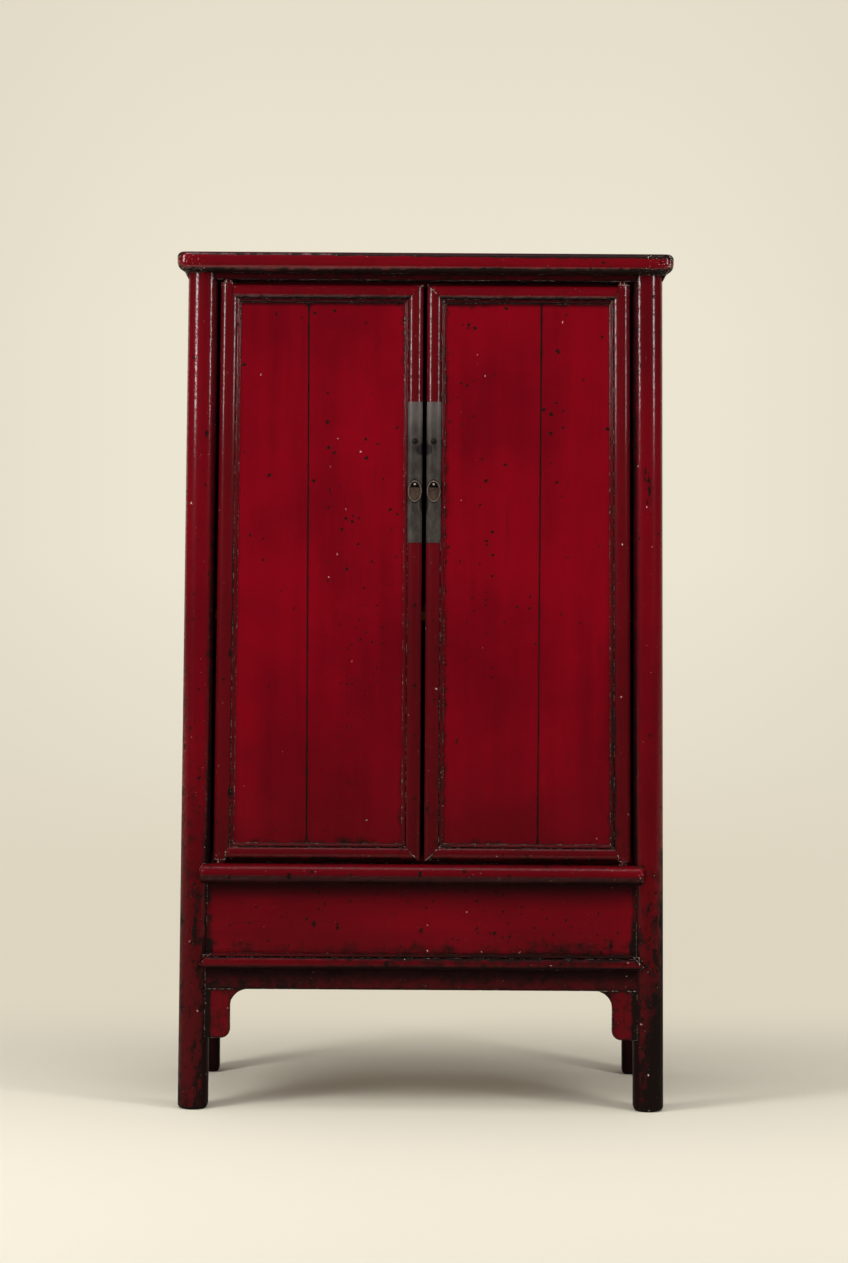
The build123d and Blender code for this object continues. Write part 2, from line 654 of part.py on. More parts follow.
def make_door():
    """The four mitred and moulded members, the two boards and the battens of the left door."""
    low_x = door_edge(LOW_INNER) + PIVOT_STILE
    high_x = door_edge(HIGH_INNER) + PIVOT_STILE
    past = QUIRK / 2
    pivot_area = prism(
        polygon(
            (door_edge(DOOR_BOTTOM) - past, DOOR_BOTTOM),
            (low_x - MITRE_STOP - SLOPE * (DOOR_BOTTOM_RAIL - MITRE_STOP), DOOR_BOTTOM),
            (low_x - MITRE_STOP, LOW_INNER - MITRE_STOP),
            (low_x + past, LOW_INNER + past),
            (high_x + past, HIGH_INNER - past),
            (high_x - MITRE_STOP, HIGH_INNER + MITRE_STOP),
            (high_x - MITRE_STOP + SLOPE * (DOOR_TOP_RAIL - MITRE_STOP), DOOR_TOP),
            (door_edge(DOOR_TOP) - past, DOOR_TOP),
        )
    )
    low_mitre = min(MEETING_STILE, DOOR_BOTTOM_RAIL)
    high_mitre = min(MEETING_STILE, DOOR_TOP_RAIL)
    meeting_area = prism(
        polygon(
            (MEETING_INNER - past, LOW_INNER + past),
            (MEETING_INNER + low_mitre, LOW_INNER - low_mitre),
            (MEETING_EDGE + past, LOW_INNER - low_mitre),
            (MEETING_EDGE + past, HIGH_INNER + high_mitre),
            (MEETING_INNER + high_mitre, HIGH_INNER + high_mitre),
            (MEETING_INNER - past, HIGH_INNER - past),
        )
    )
    top_area = prism(
        polygon(
            (door_edge(HIGH_INNER), HIGH_INNER - past),
            (MEETING_EDGE, HIGH_INNER - past),
            (MEETING_EDGE, DOOR_TOP),
            (door_edge(DOOR_TOP), DOOR_TOP),
        )
    )
    bottom_area = prism(
        polygon(
            (door_edge(DOOR_BOTTOM), DOOR_BOTTOM),
            (MEETING_EDGE, DOOR_BOTTOM),
            (MEETING_EDGE, LOW_INNER + past),
            (door_edge(LOW_INNER), LOW_INNER + past),
        )
    )
    stile = member(PIVOT_PLANE, pivot_moulding(PIVOT_STILE)) & pivot_area
    meeting = member(MEETING_PLANE, square_moulding(MEETING_STILE)) & meeting_area
    top = member(TOP_PLANE, square_moulding(DOOR_TOP_RAIL)) & top_area
    top = top - pivot_area - meeting_area
    bottom = member(BOTTOM_PLANE, square_moulding(DOOR_BOTTOM_RAIL)) & bottom_area
    bottom = bottom - pivot_area - meeting_area

    # Tenons of the rails.
    clear = DOOR_TONGUE + DOOR_TENON_SHOULDER + DOOR_TENON_HEIGHT / 2
    half = (MITRE_STOP + DOOR_TONGUE) / 2
    top_pegs = [door_tenon(x, HIGH_INNER + clear) for x in (high_x - half, MEETING_INNER + half)]
    bottom_pegs = [door_tenon(x, LOW_INNER - clear) for x in (low_x - half, MEETING_INNER + half)]
    stile = stile - top_pegs - bottom_pegs
    meeting = meeting - top_pegs - bottom_pegs
    top = top + top_pegs
    bottom = bottom + bottom_pegs

    # The panel: two boards side by side, in a groove all round.
    front = DOOR_SETBACK + PANEL_RECESS
    low, high = LOW_INNER - DOOR_TONGUE, HIGH_INNER + DOOR_TONGUE
    low_edge = door_edge(low) + PIVOT_STILE - DOOR_TONGUE
    high_edge = door_edge(high) + PIVOT_STILE - DOOR_TONGUE
    right_edge = MEETING_INNER + DOOR_TONGUE
    edges = polygon((low_edge, low), (right_edge, low), (right_edge, high), (high_edge, high))
    whole = sheet(edges, -front, DOOR_PANEL_THICK)
    crack = Pos(-BOARD_SPLIT, HEIGHT / 2, 0) * Box(BOARD_CRACK, HEIGHT, FOOT_DEPTH)
    stile, meeting, top, bottom = stile - whole, meeting - whole, top - whole, bottom - whole

    # Dovetailed battens across the back, let into the stiles.
    back = front + DOOR_PANEL_THICK - BATTEN_SEAT
    battens = []
    for up in BATTEN_HEIGHTS:
        wide, narrow = BATTEN_WIDTH / 2, BATTEN_WIDTH / 2 - BATTEN_TAPER
        section = polygon(
            (up - wide, -back), (up + wide, -back), (up + narrow, -DOOR_BACK), (up - narrow, -DOOR_BACK)
        )
        left_end = door_edge(up) + PIVOT_STILE - SHORT_TONGUE
        right_end = MEETING_INNER + SHORT_TONGUE
        middle = (left_end + right_end) / 2
        battens.append(Pos(middle, 0, 0) * bar(section, right_end - left_end))
    for batten in battens:
        whole -= batten
        stile -= batten
        meeting -= batten
    boards = (whole - crack).solids().sort_by(Axis.X)

    # Wooden pivots on the stile's own axis, turned on its ends.
    for low_end, high_end in (PIVOT_LOW, PIVOT_HIGH):
        stile += PIVOT_AXIS * upright(PIVOT_RADIUS, low_end, high_end)
    return stile, meeting, top, bottom, boards, battens


# The pivots' axis, and the span of each pivot along it.
PIVOT_AXIS = PIVOT_PLANE * Pos(PIVOT_INSET, PIVOT_INSET, 0)
PIVOT_LOW = (WAIST_TOP - PIVOT_BOTTOM_REACH, DOOR_BOTTOM + PIVOT_ROOT)
PIVOT_HIGH = (DOOR_TOP - PIVOT_ROOT, DOOR_TOP + DOOR_TOP_GAP + PIVOT_TOP_REACH)


def pivot_holes():
    """The left door's two pivot holes, as solids to cut from the rails."""
    radius = PIVOT_RADIUS + PIVOT_FIT
    lower = FRONT * PIVOT_AXIS * upright(radius, PIVOT_LOW[0] - PIVOT_END_GAP, DOOR_BOTTOM)
    upper = FRONT * PIVOT_AXIS * upright(radius, DOOR_TOP, 2 * HEIGHT)
    return lower, upper - above_cap


stile, meeting, top, bottom, boards, battens = make_door()
left_door_pivot_stile = FRONT * stile
left_door_meeting_stile = FRONT * meeting
left_door_top_rail = FRONT * top
left_door_bottom_rail = FRONT * bottom
left_door_outer_board = FRONT * boards[0]
left_door_inner_board = FRONT * boards[1]
left_door_battens = FRONT * Compound(children=[solid(batten) for batten in battens])
lower_hole, upper_hole = pivot_holes()
waist_rail = waist_rail - lower_hole - mirrored(lower_hole)
front_top_rail = front_top_rail - upper_hole - mirrored(upper_hole)


# ---- Door hardware ----
MAIN_FACE = MEETING_STILE - QUIRK            # width of the meeting stile's rounded face
CROWN = MEETING_EDGE - MAIN_FACE / 2         # where that face stands highest


def make_plate():
    """Iron plate bent over the rounded face of the meeting stile."""
    across = MAIN_FACE / 2
    radius = (across**2 + FACE_DROP**2) / (2 * FACE_DROP)
    edge = PLATE_THICK * radius / (radius - FACE_DROP)
    section = outline(
        ThreePointArc((0, FACE_DROP), (across, 0), (MAIN_FACE, FACE_DROP)),
        Line((MAIN_FACE, FACE_DROP), (MAIN_FACE, FACE_DROP - edge)),
        ThreePointArc((MAIN_FACE, FACE_DROP - edge), (across, -PLATE_THICK), (0, FACE_DROP - edge)),
        Line((0, FACE_DROP - edge), (0, FACE_DROP)),
    )
    long = extrude(MEETING_PLANE * section, HEIGHT, both=True)
    low = (-FOOT_SPAN / 2, PLATE_BOTTOM, -FOOT_DEPTH / 2)
    high = (0, PLATE_BOTTOM + PLATE_HEIGHT, FOOT_DEPTH / 2)
    return long & block(low, high)


def turned_stud(up, *profile):
    """A stud turned to a profile of (radius, outwards) on the crown of the meeting stile."""
    return Pos(CROWN, up, -DOOR_SETBACK) * revolve(Plane.XZ * outline(*profile), Axis.Z)


def make_lock_stud():
    """Domed lock stud: its neck goes through the plate into the stile."""
    base = STUD_RADIUS - STUD_UNDERCUT
    end = PLATE_THICK + STUD_LENGTH
    dome = end - STUD_RADIUS
    bow = STUD_RADIUS / sqrt(2)
    return turned_stud(
        PLATE_BOTTOM + STUD_UP,
        Polyline((0, end), (0, -SHANK_IN), (STUD_NECK, -SHANK_IN), (STUD_NECK, STUD_STANDOFF)),
        Polyline((STUD_NECK, STUD_STANDOFF), (base, STUD_STANDOFF), (STUD_RADIUS, dome)),
        ThreePointArc((STUD_RADIUS, dome), (bow, dome + bow), (0, end)),
    )


PULL_BACK = PLATE_THICK + PULL_GAP
PULL_TOP = PLATE_BOTTOM + PULL_UP
MOUTH_TOP = PULL_TOP - 2 * PULL_ARCH
PULL_STUD_UP = MOUTH_TOP - PULL_CLEAR - PULL_SHANK


def make_pull_stud():
    """Stud that carries the pull: a shank through the pull's mouth, and a wider head with a bead on it."""
    shoulder = PULL_BACK + PULL_THICK + 2 * PULL_CLEAR
    edge = shoulder + PULL_HEAD_EDGE
    face = edge + PULL_HEAD_RISE
    bow = PULL_BEAD / sqrt(2)
    return turned_stud(
        PULL_STUD_UP,
        Polyline(
            (0, face + PULL_BEAD),
            (0, -SHANK_IN),
            (STUD_NECK, -SHANK_IN),
            (STUD_NECK, PLATE_THICK),
            (PULL_SHANK, PLATE_THICK),
            (PULL_SHANK, shoulder),
            (PULL_HEAD, shoulder),
            (PULL_HEAD, edge),
            (PULL_BEAD, face),
        ),
        ThreePointArc((PULL_BEAD, face), (bow, face + bow), (0, face + PULL_BEAD)),
    )


def make_pull():
    """Oval drop pull: a dished pendant with a half-moon mouth, and a round bar over the mouth to swing on."""
    mouth_low = PULL_HEIGHT / 2 - 2 * PULL_ARCH - PULL_MOUTH_HEIGHT
    mouth_high = PULL_HEIGHT / 2 - 2 * PULL_ARCH
    mouth = outline(
        ThreePointArc((-PULL_MOUTH / 2, mouth_low), (0, mouth_high), (PULL_MOUTH / 2, mouth_low)),
        Line((PULL_MOUTH / 2, mouth_low), (-PULL_MOUTH / 2, mouth_low)),
    )
    blank = extrude(Ellipse(PULL_WIDTH / 2, PULL_HEIGHT / 2), PULL_THICK)
    blank = fillet(blank.faces().sort_by(Axis.Z)[-1].edges(), PULL_RIM)
    dish = extrude(Ellipse(PULL_WIDTH / 2 - PULL_LIP, PULL_HEIGHT / 2 - PULL_LIP), PULL_DISH)
    blank -= Pos(0, 0, PULL_THICK - PULL_DISH) * dish
    pendant = blank - extrude(mouth, PULL_THICK)
    arch = (PULL_HEIGHT / 2 - PULL_ARCH, PULL_THICK / 2)
    room = Pos(0, *arch) * Box(PULL_ARCH_LENGTH, 4 * PULL_ARCH, 2 * PULL_THICK)
    round_bar = Pos(0, *arch) * Rot(0, 90, 0) * Cylinder(PULL_ARCH, PULL_ARCH_LENGTH + PULL_ARCH)
    return Pos(CROWN, PULL_TOP - PULL_HEIGHT / 2, PULL_BACK - DOOR_SETBACK) * (pendant - room + round_bar)


left_face_plate = make_plate()
left_lock_stud = make_lock_stud()
left_pull_stud = make_pull_stud()
left_pull = FRONT * make_pull()
left_face_plate = FRONT * (left_face_plate - left_lock_stud - left_pull_stud)
left_lock_stud = FRONT * left_lock_stud
left_pull_stud = FRONT * left_pull_stud
left_door_meeting_stile = left_door_meeting_stile - left_lock_stud - left_pull_stud


# ---- Housings: the mortises and grooves cut in a piece for whatever enters it ----
def housed(piece, *guests):
    """The piece with a housing for each guest."""
    for guest in guests:
        piece = piece - guest
    return piece


left_sides = (left_top_rail, left_bottom_rail, left_panel, left_apron, left_shelf_bearer)
front_sides = (front_top_rail, waist_rail, front_lower_rail, lower_panel, front_apron, front_left_bracket)
back_sides = (back_top_rail, back_waist_rail, back_lower_rail, back_upper_panel, back_lower_panel)
front_left_post = housed(front_left_post, *left_sides, *front_sides)
back_left_post = housed(back_left_post, *left_sides, *[turned(piece) for piece in back_sides])
waist_rail = housed(waist_rail, lower_panel, lid_bearer)
front_lower_rail = housed(front_lower_rail, lower_panel, bottom_board)
back_top_rail = housed(back_top_rail, back_upper_panel)
back_waist_rail = housed(back_waist_rail, back_upper_panel, back_lower_panel, lid_bearer)
back_lower_rail = housed(back_lower_rail, back_lower_panel, bottom_board)
left_top_rail = housed(left_top_rail, left_panel)
left_bottom_rail = housed(left_bottom_rail, left_panel, bottom_board)

# ---- The finished pieces ----
left_pieces = {
    "cap_{}_rail": cap_left_rail,
    "front_{}_post": front_left_post,
    "back_{}_post": back_left_post,
    "front_{}_bracket": front_left_bracket,
    "{}_top_rail": left_top_rail,
    "{}_bottom_rail": left_bottom_rail,
    "{}_panel": left_panel,
    "{}_apron": left_apron,
    "{}_shelf_bearer": left_shelf_bearer,
    "{}_floor_lid": left_floor_lid,
    "{}_door_pivot_stile": left_door_pivot_stile,
    "{}_door_meeting_stile": left_door_meeting_stile,
    "{}_door_top_rail": left_door_top_rail,
    "{}_door_bottom_rail": left_door_bottom_rail,
    "{}_door_outer_board": left_door_outer_board,
    "{}_door_inner_board": left_door_inner_board,
    "{}_door_battens": left_door_battens,
    "{}_face_plate": left_face_plate,
    "{}_lock_stud": left_lock_stud,
    "{}_pull_stud": left_pull_stud,
    "{}_pull": left_pull,
}
pieces = {
    "cap_front_rail": cap_front_rail,
    "cap_back_rail": turned(cap_front_rail),
    "cap_panel": cap_panel,
    "cap_batten": cap_batten,
    "front_top_rail": front_top_rail,
    "waist_rail": waist_rail,
    "front_lower_rail": front_lower_rail,
    "lower_panel": lower_panel,
    "front_apron": front_apron,
    "back_top_rail": turned(back_top_rail),
    "back_waist_rail": turned(back_waist_rail),
    "back_lower_rail": turned(back_lower_rail),
    "back_upper_panel": turned(back_upper_panel),
    "back_lower_panel": turned(back_lower_panel),
    "bottom_board": bottom_board,
    "lid_bearer": lid_bearer,
    "shelf": shelf,
}
for name, piece in left_pieces.items():
    pieces[name.format("left")] = piece
    pieces[name.format("right")] = mirrored(piece)

os.makedirs("parts", exist_ok=True)
for name, piece in pieces.items():
    export_step(piece, f"parts/{name}.step")
print(len(pieces), "pieces")
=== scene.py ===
# %% [markdown]
# # A red lacquered wedding cabinet
# The cabinet's wood and iron are already built, piece by piece, in a CAD file. This lesson dresses them:
# it loads the pieces, sets up a camera, a pale floor and studio light, and then mixes one finish after
# another: worn lacquer, bare wood, iron and bronze. Everything is in metres, with +Z up and the doors
# towards -Y.

# %% Load the pieces
from math import radians

import bpy
import numpy as np
from mathutils import Matrix, Vector


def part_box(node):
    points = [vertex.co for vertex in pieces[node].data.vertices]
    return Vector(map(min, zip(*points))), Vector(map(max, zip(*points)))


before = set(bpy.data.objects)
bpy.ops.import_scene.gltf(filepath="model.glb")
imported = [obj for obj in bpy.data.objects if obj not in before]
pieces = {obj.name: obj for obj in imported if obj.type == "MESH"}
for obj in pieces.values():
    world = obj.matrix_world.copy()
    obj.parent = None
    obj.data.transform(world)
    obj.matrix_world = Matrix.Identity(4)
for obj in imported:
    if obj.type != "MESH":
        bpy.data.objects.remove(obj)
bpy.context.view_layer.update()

# %% [markdown]
# ## Camera
# A wide lens close by would make the tall posts lean in, so a long one is used from far away. The camera
# stands a little above the middle of the doors, looks down by about three degrees, and leans by a hair, as
# a hand-levelled one does.

# %% Camera
LENS = 98.85                # mm, on a 36 mm sensor
CAMERA_PLACE = (0.0014, -7.4866, 1.4093)
LOOK_DOWN = 3.142           # degrees
CAMERA_ROLL = 0.36          # degrees

camera_data = bpy.data.cameras.new("camera")
camera_data.lens = LENS
camera_data.sensor_width = 36
camera = bpy.data.objects.new("camera", camera_data)
camera.location = CAMERA_PLACE
tilt = Matrix.Rotation(radians(90 - LOOK_DOWN), 3, "X") @ Matrix.Rotation(radians(CAMERA_ROLL), 3, "Z")
camera.rotation_euler = tilt.to_euler()
bpy.context.scene.collection.objects.link(camera)
bpy.context.scene.camera = camera
bpy.context.scene.view_settings.view_transform = "Standard"
print("camera at", tuple(camera.location))

# %% [markdown]
# ## Writing shader maths as Python
# A finish is a network of small nodes. Clicking them together is slow to read back, so two small classes
# let a mask be written as a formula. A `Wire` is one output of a node, and each operator on it adds the
# Math node that does the sum. A `Finish` is a material and has one method, `add`, that adds any other
# node: first its settings, then what goes into its sockets.

# %% Wires and finishes
class Wire:
    """An output of a node that can be used in a formula."""

    def __init__(self, finish, socket):
        self.finish = finish
        self.socket = socket

    def sum(self, operation, *values):
        """One Math node on the values given."""
        return self.finish.add("ShaderNodeMath", {"operation": operation}, dict(enumerate(values)))

    def __add__(self, other):
        return self.sum("ADD", self, other)

    def __radd__(self, other):
        return self.sum("ADD", other, self)

    def __sub__(self, other):
        return self.sum("SUBTRACT", self, other)

    def __rsub__(self, other):
        return self.sum("SUBTRACT", other, self)

    def __mul__(self, other):
        return self.sum("MULTIPLY", self, other)

    def __rmul__(self, other):
        return self.sum("MULTIPLY", other, self)

    def __truediv__(self, other):
        return self.sum("DIVIDE", self, other)

    def __rtruediv__(self, other):
        return self.sum("DIVIDE", other, self)

    def __pow__(self, other):
        return self.sum("POWER", self, other)

    def __abs__(self):
        return self.sum("ABSOLUTE", self)


class Finish:
    """A material, with the one way in which nodes are added to it."""

    def __init__(self, name, owner=None):
        self.material = owner or bpy.data.materials.new(name)
        self.material.use_nodes = True
        self.tree = self.material.node_tree
        self.tree.nodes.clear()
        self.place = self.add("ShaderNodeTexCoord", {}, {}, "Object")
        self.xyz = [self.add("ShaderNodeSeparateXYZ", {}, {0: self.place}, axis) for axis in "XYZ"]

    def add(self, kind, settings, inputs, output=0):
        """Adds a node, sets it up, joins or fills its sockets, and returns one of its outputs."""
        node = self.tree.nodes.new(kind)
        for key, value in settings.items():
            if key == "stops":
                self.set_stops(node.color_ramp, value)
            else:
                setattr(node, key, value)
        for key, value in inputs.items():
            if isinstance(value, Wire):
                self.tree.links.new(value.socket, node.inputs[key])
            else:
                node.inputs[key].default_value = value
        return Wire(self, node.outputs[output]) if len(node.outputs) else None

    def set_stops(self, ramp, stops):
        """Gives a colour ramp its stops: pairs of a place from 0 to 1 and a colour."""
        while len(ramp.elements) < len(stops):
            ramp.elements.new(1.0)
        for element, (place, colour) in zip(ramp.elements, stops):
            element.position = place
            element.color = (*colour, 1.0)


print("formulas such as 1 - mask now add Math nodes")

# %% [markdown]
# ## Four shader tools
# Every finish below is made with the same four tools: a colour given as it looks on a screen, a noise
# that can be stretched along the grain, a soft step from 0 to 1, and a blend of two colours.

# %% Shader tools
def screen(red, green, blue):
    """A colour written as screen values from 0 to 255, as the linear light that shaders use."""
    values = np.array([red, green, blue]) / 255
    linear = np.where(values <= 0.04045, values / 12.92, ((values + 0.055) / 1.055) ** 2.4)
    return tuple(float(value) for value in linear)


def noise(finish, scale, stretch=(1, 1, 1), detail=4.0, roughness=0.55, shift=0.0):
    """Cloudy noise about 1 / scale metres across, drawn out where stretch is small."""
    places = finish.add("ShaderNodeVectorMath", {"operation": "MULTIPLY_ADD"},
                        {0: finish.place, 1: stretch, 2: (shift, shift, shift)})
    return finish.add("ShaderNodeTexNoise", {},
                      {"Vector": places, "Scale": scale, "Detail": detail, "Roughness": roughness})


def step(finish, value, low, high):
    """0 below low and 1 above high, with a smooth rise between; low may be the larger."""
    return finish.add("ShaderNodeMapRange", {"interpolation_type": "SMOOTHSTEP"},
                      {"Value": value, "From Min": low, "From Max": high})


def blend(finish, amount, first, second):
    """The first colour where amount is 0 and the second where it is 1."""
    first, second = [(*c, 1.0) if isinstance(c, tuple) else c for c in (first, second)]
    return finish.add("ShaderNodeMix", {"data_type": "RGBA"}, {0: amount, 6: first, 7: second}, 2)


print("a middle grey in linear light:", screen(128, 128, 128))

# %% [markdown]
# ## Floor and backdrop
# The studio is a sheet of pale paper that lies on the floor, runs far back behind the cabinet, curves up
# there and rises out of view. A plain background colour would be simpler, but only paper takes a true
# shadow. In front lies a second sheet that only the camera sees. Views from behind find a floor there
# too, and it throws no light on the doors.

# %% Paper sheets
SWEEP_FRONT = -2.4          # the paper that takes light and shadow ends here
SWEEP_START = 9.0           # where the paper begins to curve up
SWEEP_ROUND = 1.5           # the radius of that curve
SWEEP_HEIGHT = 12.0         # how high the paper rises behind
SWEEP_HALF = 16.0           # how far it reaches to either side, and the front sheet to the front


def sheet_along(profile, half_width, name):
    """A sheet that carries a profile of (y, z) points from x = -half_width to half_width.

    The point at (i, j) is (half_width * (2 i - 1), y_j, z_j), for i = 0 and 1.
    """
    y, z = profile
    count = len(y)
    x = np.repeat([-half_width, half_width], count)
    points = np.column_stack([x, np.tile(y, 2), np.tile(z, 2)])
    low = np.arange(count - 1)
    faces = np.column_stack([low, low + count, low + count + 1, low + 1])
    mesh = bpy.data.meshes.new(name)
    mesh.from_pydata(points.tolist(), [], faces.tolist())
    mesh.polygons.foreach_set("use_smooth", np.ones(len(faces), bool))
    sheet = bpy.data.objects.new(name, mesh)
    bpy.context.scene.collection.objects.link(sheet)
    return sheet


turn = np.linspace(0, np.pi / 2, 33)
wall_y = SWEEP_START + SWEEP_ROUND
sweep_y = np.concatenate([[SWEEP_FRONT], SWEEP_START + SWEEP_ROUND * np.sin(turn), [wall_y]])
sweep_z = np.concatenate([[0], SWEEP_ROUND * (1 - np.cos(turn)), [SWEEP_HEIGHT]])
sweep = sheet_along((sweep_y, sweep_z), SWEEP_HALF, "paper_sweep")
front = sheet_along((np.array([-SWEEP_HALF, SWEEP_FRONT]), np.zeros(2)), SWEEP_HALF, "paper_front")
front.visible_diffuse = front.visible_glossy = front.visible_transmission = front.visible_shadow = False
print("sweep of", len(sweep.data.polygons), "faces, and a front sheet that only the camera sees")

# %% [markdown]
# ### A finish for the paper
# Near the cabinet it is plain matt paper, which takes light and shadow. Lamps would light a far wall
# unevenly, so far out, what the camera and shiny surfaces see of it glows by itself. Its tones climb from
# the floor up the wall, and both sides are a little darker, as the corners of a picture are.

# %% Paper finish
PAPER = screen(233, 226, 208)
FAR_FLOOR = screen(222, 213, 192)
LOW_WALL = screen(226, 218, 198)
MID_WALL = screen(236, 230, 211)
HIGH_WALL = screen(229, 221, 201)
EDGE_WALL = screen(222, 214, 194)
NEAR_FLOOR = screen(240, 232, 213)
TONES = [(0.0, FAR_FLOOR), (0.1, LOW_WALL), (0.36, MID_WALL), (0.6, MID_WALL), (1.0, HIGH_WALL)]
TONES_TOP = 2.9             # metres: how high up a near wall the tones would end
WALL_SCALE = 0.59           # the far wall looks smaller, so the tones are drawn out on it
FLOOR_RISE = 0.57           # how far up the tones the floor reaches by the time it meets the wall
RISE_FROM, RISE_TO = 2.6, 9.4           # metres behind the cabinet between which the floor rises
NARROW, NARROW_BACK = 1.27, 0.066       # how fast the sides darken, and how much slower further back
DARK_FROM, DARK_TO = 0.5, 2.2           # metres to the side, multiplied so, between which they darken
BEHIND_FROM, BEHIND_TO = 0.25, 1.2      # metres behind the cabinet between which the paper starts to glow
OUT_FROM, OUT_TO = 2.85, 3.9            # the same for the distance from the cabinet on every side
SIDEWAYS = 1.8              # how much more a distance to the side counts

paper = Finish("paper")
x, y, z = paper.xyz
rising = paper.add("ShaderNodeValToRGB",
                   {"stops": TONES},
                   {"Fac": (z * WALL_SCALE + step(paper, y, RISE_FROM, RISE_TO) * FLOOR_RISE) / TONES_TOP})
vignette = step(paper, abs(x) * (NARROW - y * NARROW_BACK), DARK_FROM, DARK_TO)
glow_colour = blend(paper, vignette, rising, EDGE_WALL)
plain = paper.add("ShaderNodeBsdfDiffuse", {}, {"Color": (*PAPER, 1.0)})
glow = paper.add("ShaderNodeEmission", {}, {"Color": glow_colour, "Strength": 1.0})
is_camera = paper.add("ShaderNodeLightPath", {}, {}, "Is Camera Ray")
is_glossy = paper.add("ShaderNodeLightPath", {}, {}, "Is Glossy Ray")
seen = is_camera + is_glossy - is_camera * is_glossy
behind = step(paper, y, BEHIND_FROM, BEHIND_TO)
far_out = step(paper, (x * x * SIDEWAYS + y * y) ** 0.5, OUT_FROM, OUT_TO)
far = behind + far_out - behind * far_out
mixed = paper.add("ShaderNodeMixShader", {}, {0: far * seen, 1: plain, 2: glow})
paper.add("ShaderNodeOutputMaterial", {}, {"Surface": mixed})
sweep.data.materials.append(paper.material)
print("paper of", len(paper.tree.nodes), "nodes")

# %% [markdown]
# ### A finish for the front sheet
# It carries no shadow, so it needs no light: it glows, brightest where it meets the lit paper, and fades
# into the tone of the far floor.

# %% Front paper finish
FADE_SIDE, FULL_SIDE = 2.2, 0.3         # metres to the side between which the near tone fades in
FADE_FRONT = -5.5           # where it has faded away towards the front

front_paper = Finish("front_paper")
x, y, z = front_paper.xyz
nearby = step(front_paper, abs(x), FADE_SIDE, FULL_SIDE) * step(front_paper, y, FADE_FRONT, SWEEP_FRONT)
tone = blend(front_paper, nearby, EDGE_WALL, NEAR_FLOOR)
shine = front_paper.add("ShaderNodeEmission", {}, {"Color": tone, "Strength": 1.0})
front_paper.add("ShaderNodeOutputMaterial", {}, {"Surface": shine})
front.data.materials.append(front_paper.material)
print("front paper of", len(front_paper.tree.nodes), "nodes")

# %% [markdown]
# ## Light
# The main light is a wide soft one high over the cabinet and a little in front, so its shadow falls
# straight down between the legs. A smaller one, further out in front, opens up the doors and draws the
# shadow under the ledge. It is linked to the cabinet alone and not mirrored in it, so it throws no shadow
# on the paper and no glare on the red. Two tall, narrow strips stand in front to the left and right, and
# their reflections draw the bright upright lines on every rounded edge. One bright sky would be easier to
# set up, but it would wash all those lines out. The camera sees no lamp, from whichever side it looks.

# %% Lamps
def lamp(name, place, target, width, height, power):
    """A rectangular lamp at a place, turned to face a target; sizes are in metres and power in watts."""
    data = bpy.data.lights.new(name, "AREA")
    data.shape = "RECTANGLE"
    data.size = width
    data.size_y = height
    data.energy = power
    light = bpy.data.objects.new(name, data)
    light.location = place
    light.visible_camera = False
    light.rotation_euler = (Vector(target) - Vector(place)).to_track_quat("-Z", "Y").to_euler()
    bpy.context.scene.collection.objects.link(light)
    return light


lamp("top_lamp", (-0.15, -0.6, 4.6), (0.0, -0.05, 0.0), width=2.6, height=1.9, power=70)
front_lamp = lamp("front_lamp", (-0.3, -2.7, 4.7), (0.0, -0.1, 0.9), width=1.3, height=0.9, power=30.5)
lamp("left_strip", (-2.25, -1.75, 2.45), (-0.1, -0.25, 1.5), width=0.7, height=2.0, power=50)
lamp("right_strip", (2.25, -1.75, 2.45), (0.1, -0.25, 1.5), width=0.45, height=2.0, power=31)

front_lamp.visible_glossy = False
left_dark = bpy.data.collections.new("not_lit_by_front_lamp")
left_dark.objects.link(sweep)
left_dark.collection_objects[0].light_linking.link_state = "EXCLUDE"
front_lamp.light_linking.receiver_collection = left_dark
print("top, front, left and right lamps")

# %% [markdown]
# The room is nearly dark to glossy surfaces, which is what keeps deep red shiny paint red: it has nothing
# bright to mirror in front of it. Matt surfaces get a soft fill from it, so that the shadow between the
# legs stays open, and the camera sees a pale room where the paper ends.

# %% Room
ROOM = screen(226, 218, 200)
ROOM_TINT = screen(228, 228, 228)
ROOM_MIRRORED = 0.012       # strength of the room where a glossy surface mirrors it
ROOM_FILL = 0.56            # strength of the room as a soft light on matt surfaces

room = Finish("room", bpy.data.worlds.new("studio"))
bpy.context.scene.world = room.material
for_camera = room.add("ShaderNodeLightPath", {}, {}, "Is Camera Ray")
for_fill = room.add("ShaderNodeLightPath", {}, {}, "Is Diffuse Ray")
strength = for_camera * (1 - ROOM_MIRRORED) + for_fill * (ROOM_FILL - ROOM_MIRRORED) + ROOM_MIRRORED
tint = blend(room, for_camera, ROOM_TINT, ROOM)
background = room.add("ShaderNodeBackground", {}, {"Color": tint, "Strength": strength})
room.add("ShaderNodeOutputWorld", {}, {"Surface": background})
print("a room that is pale to the camera, dim to matt surfaces and dark to glossy ones")
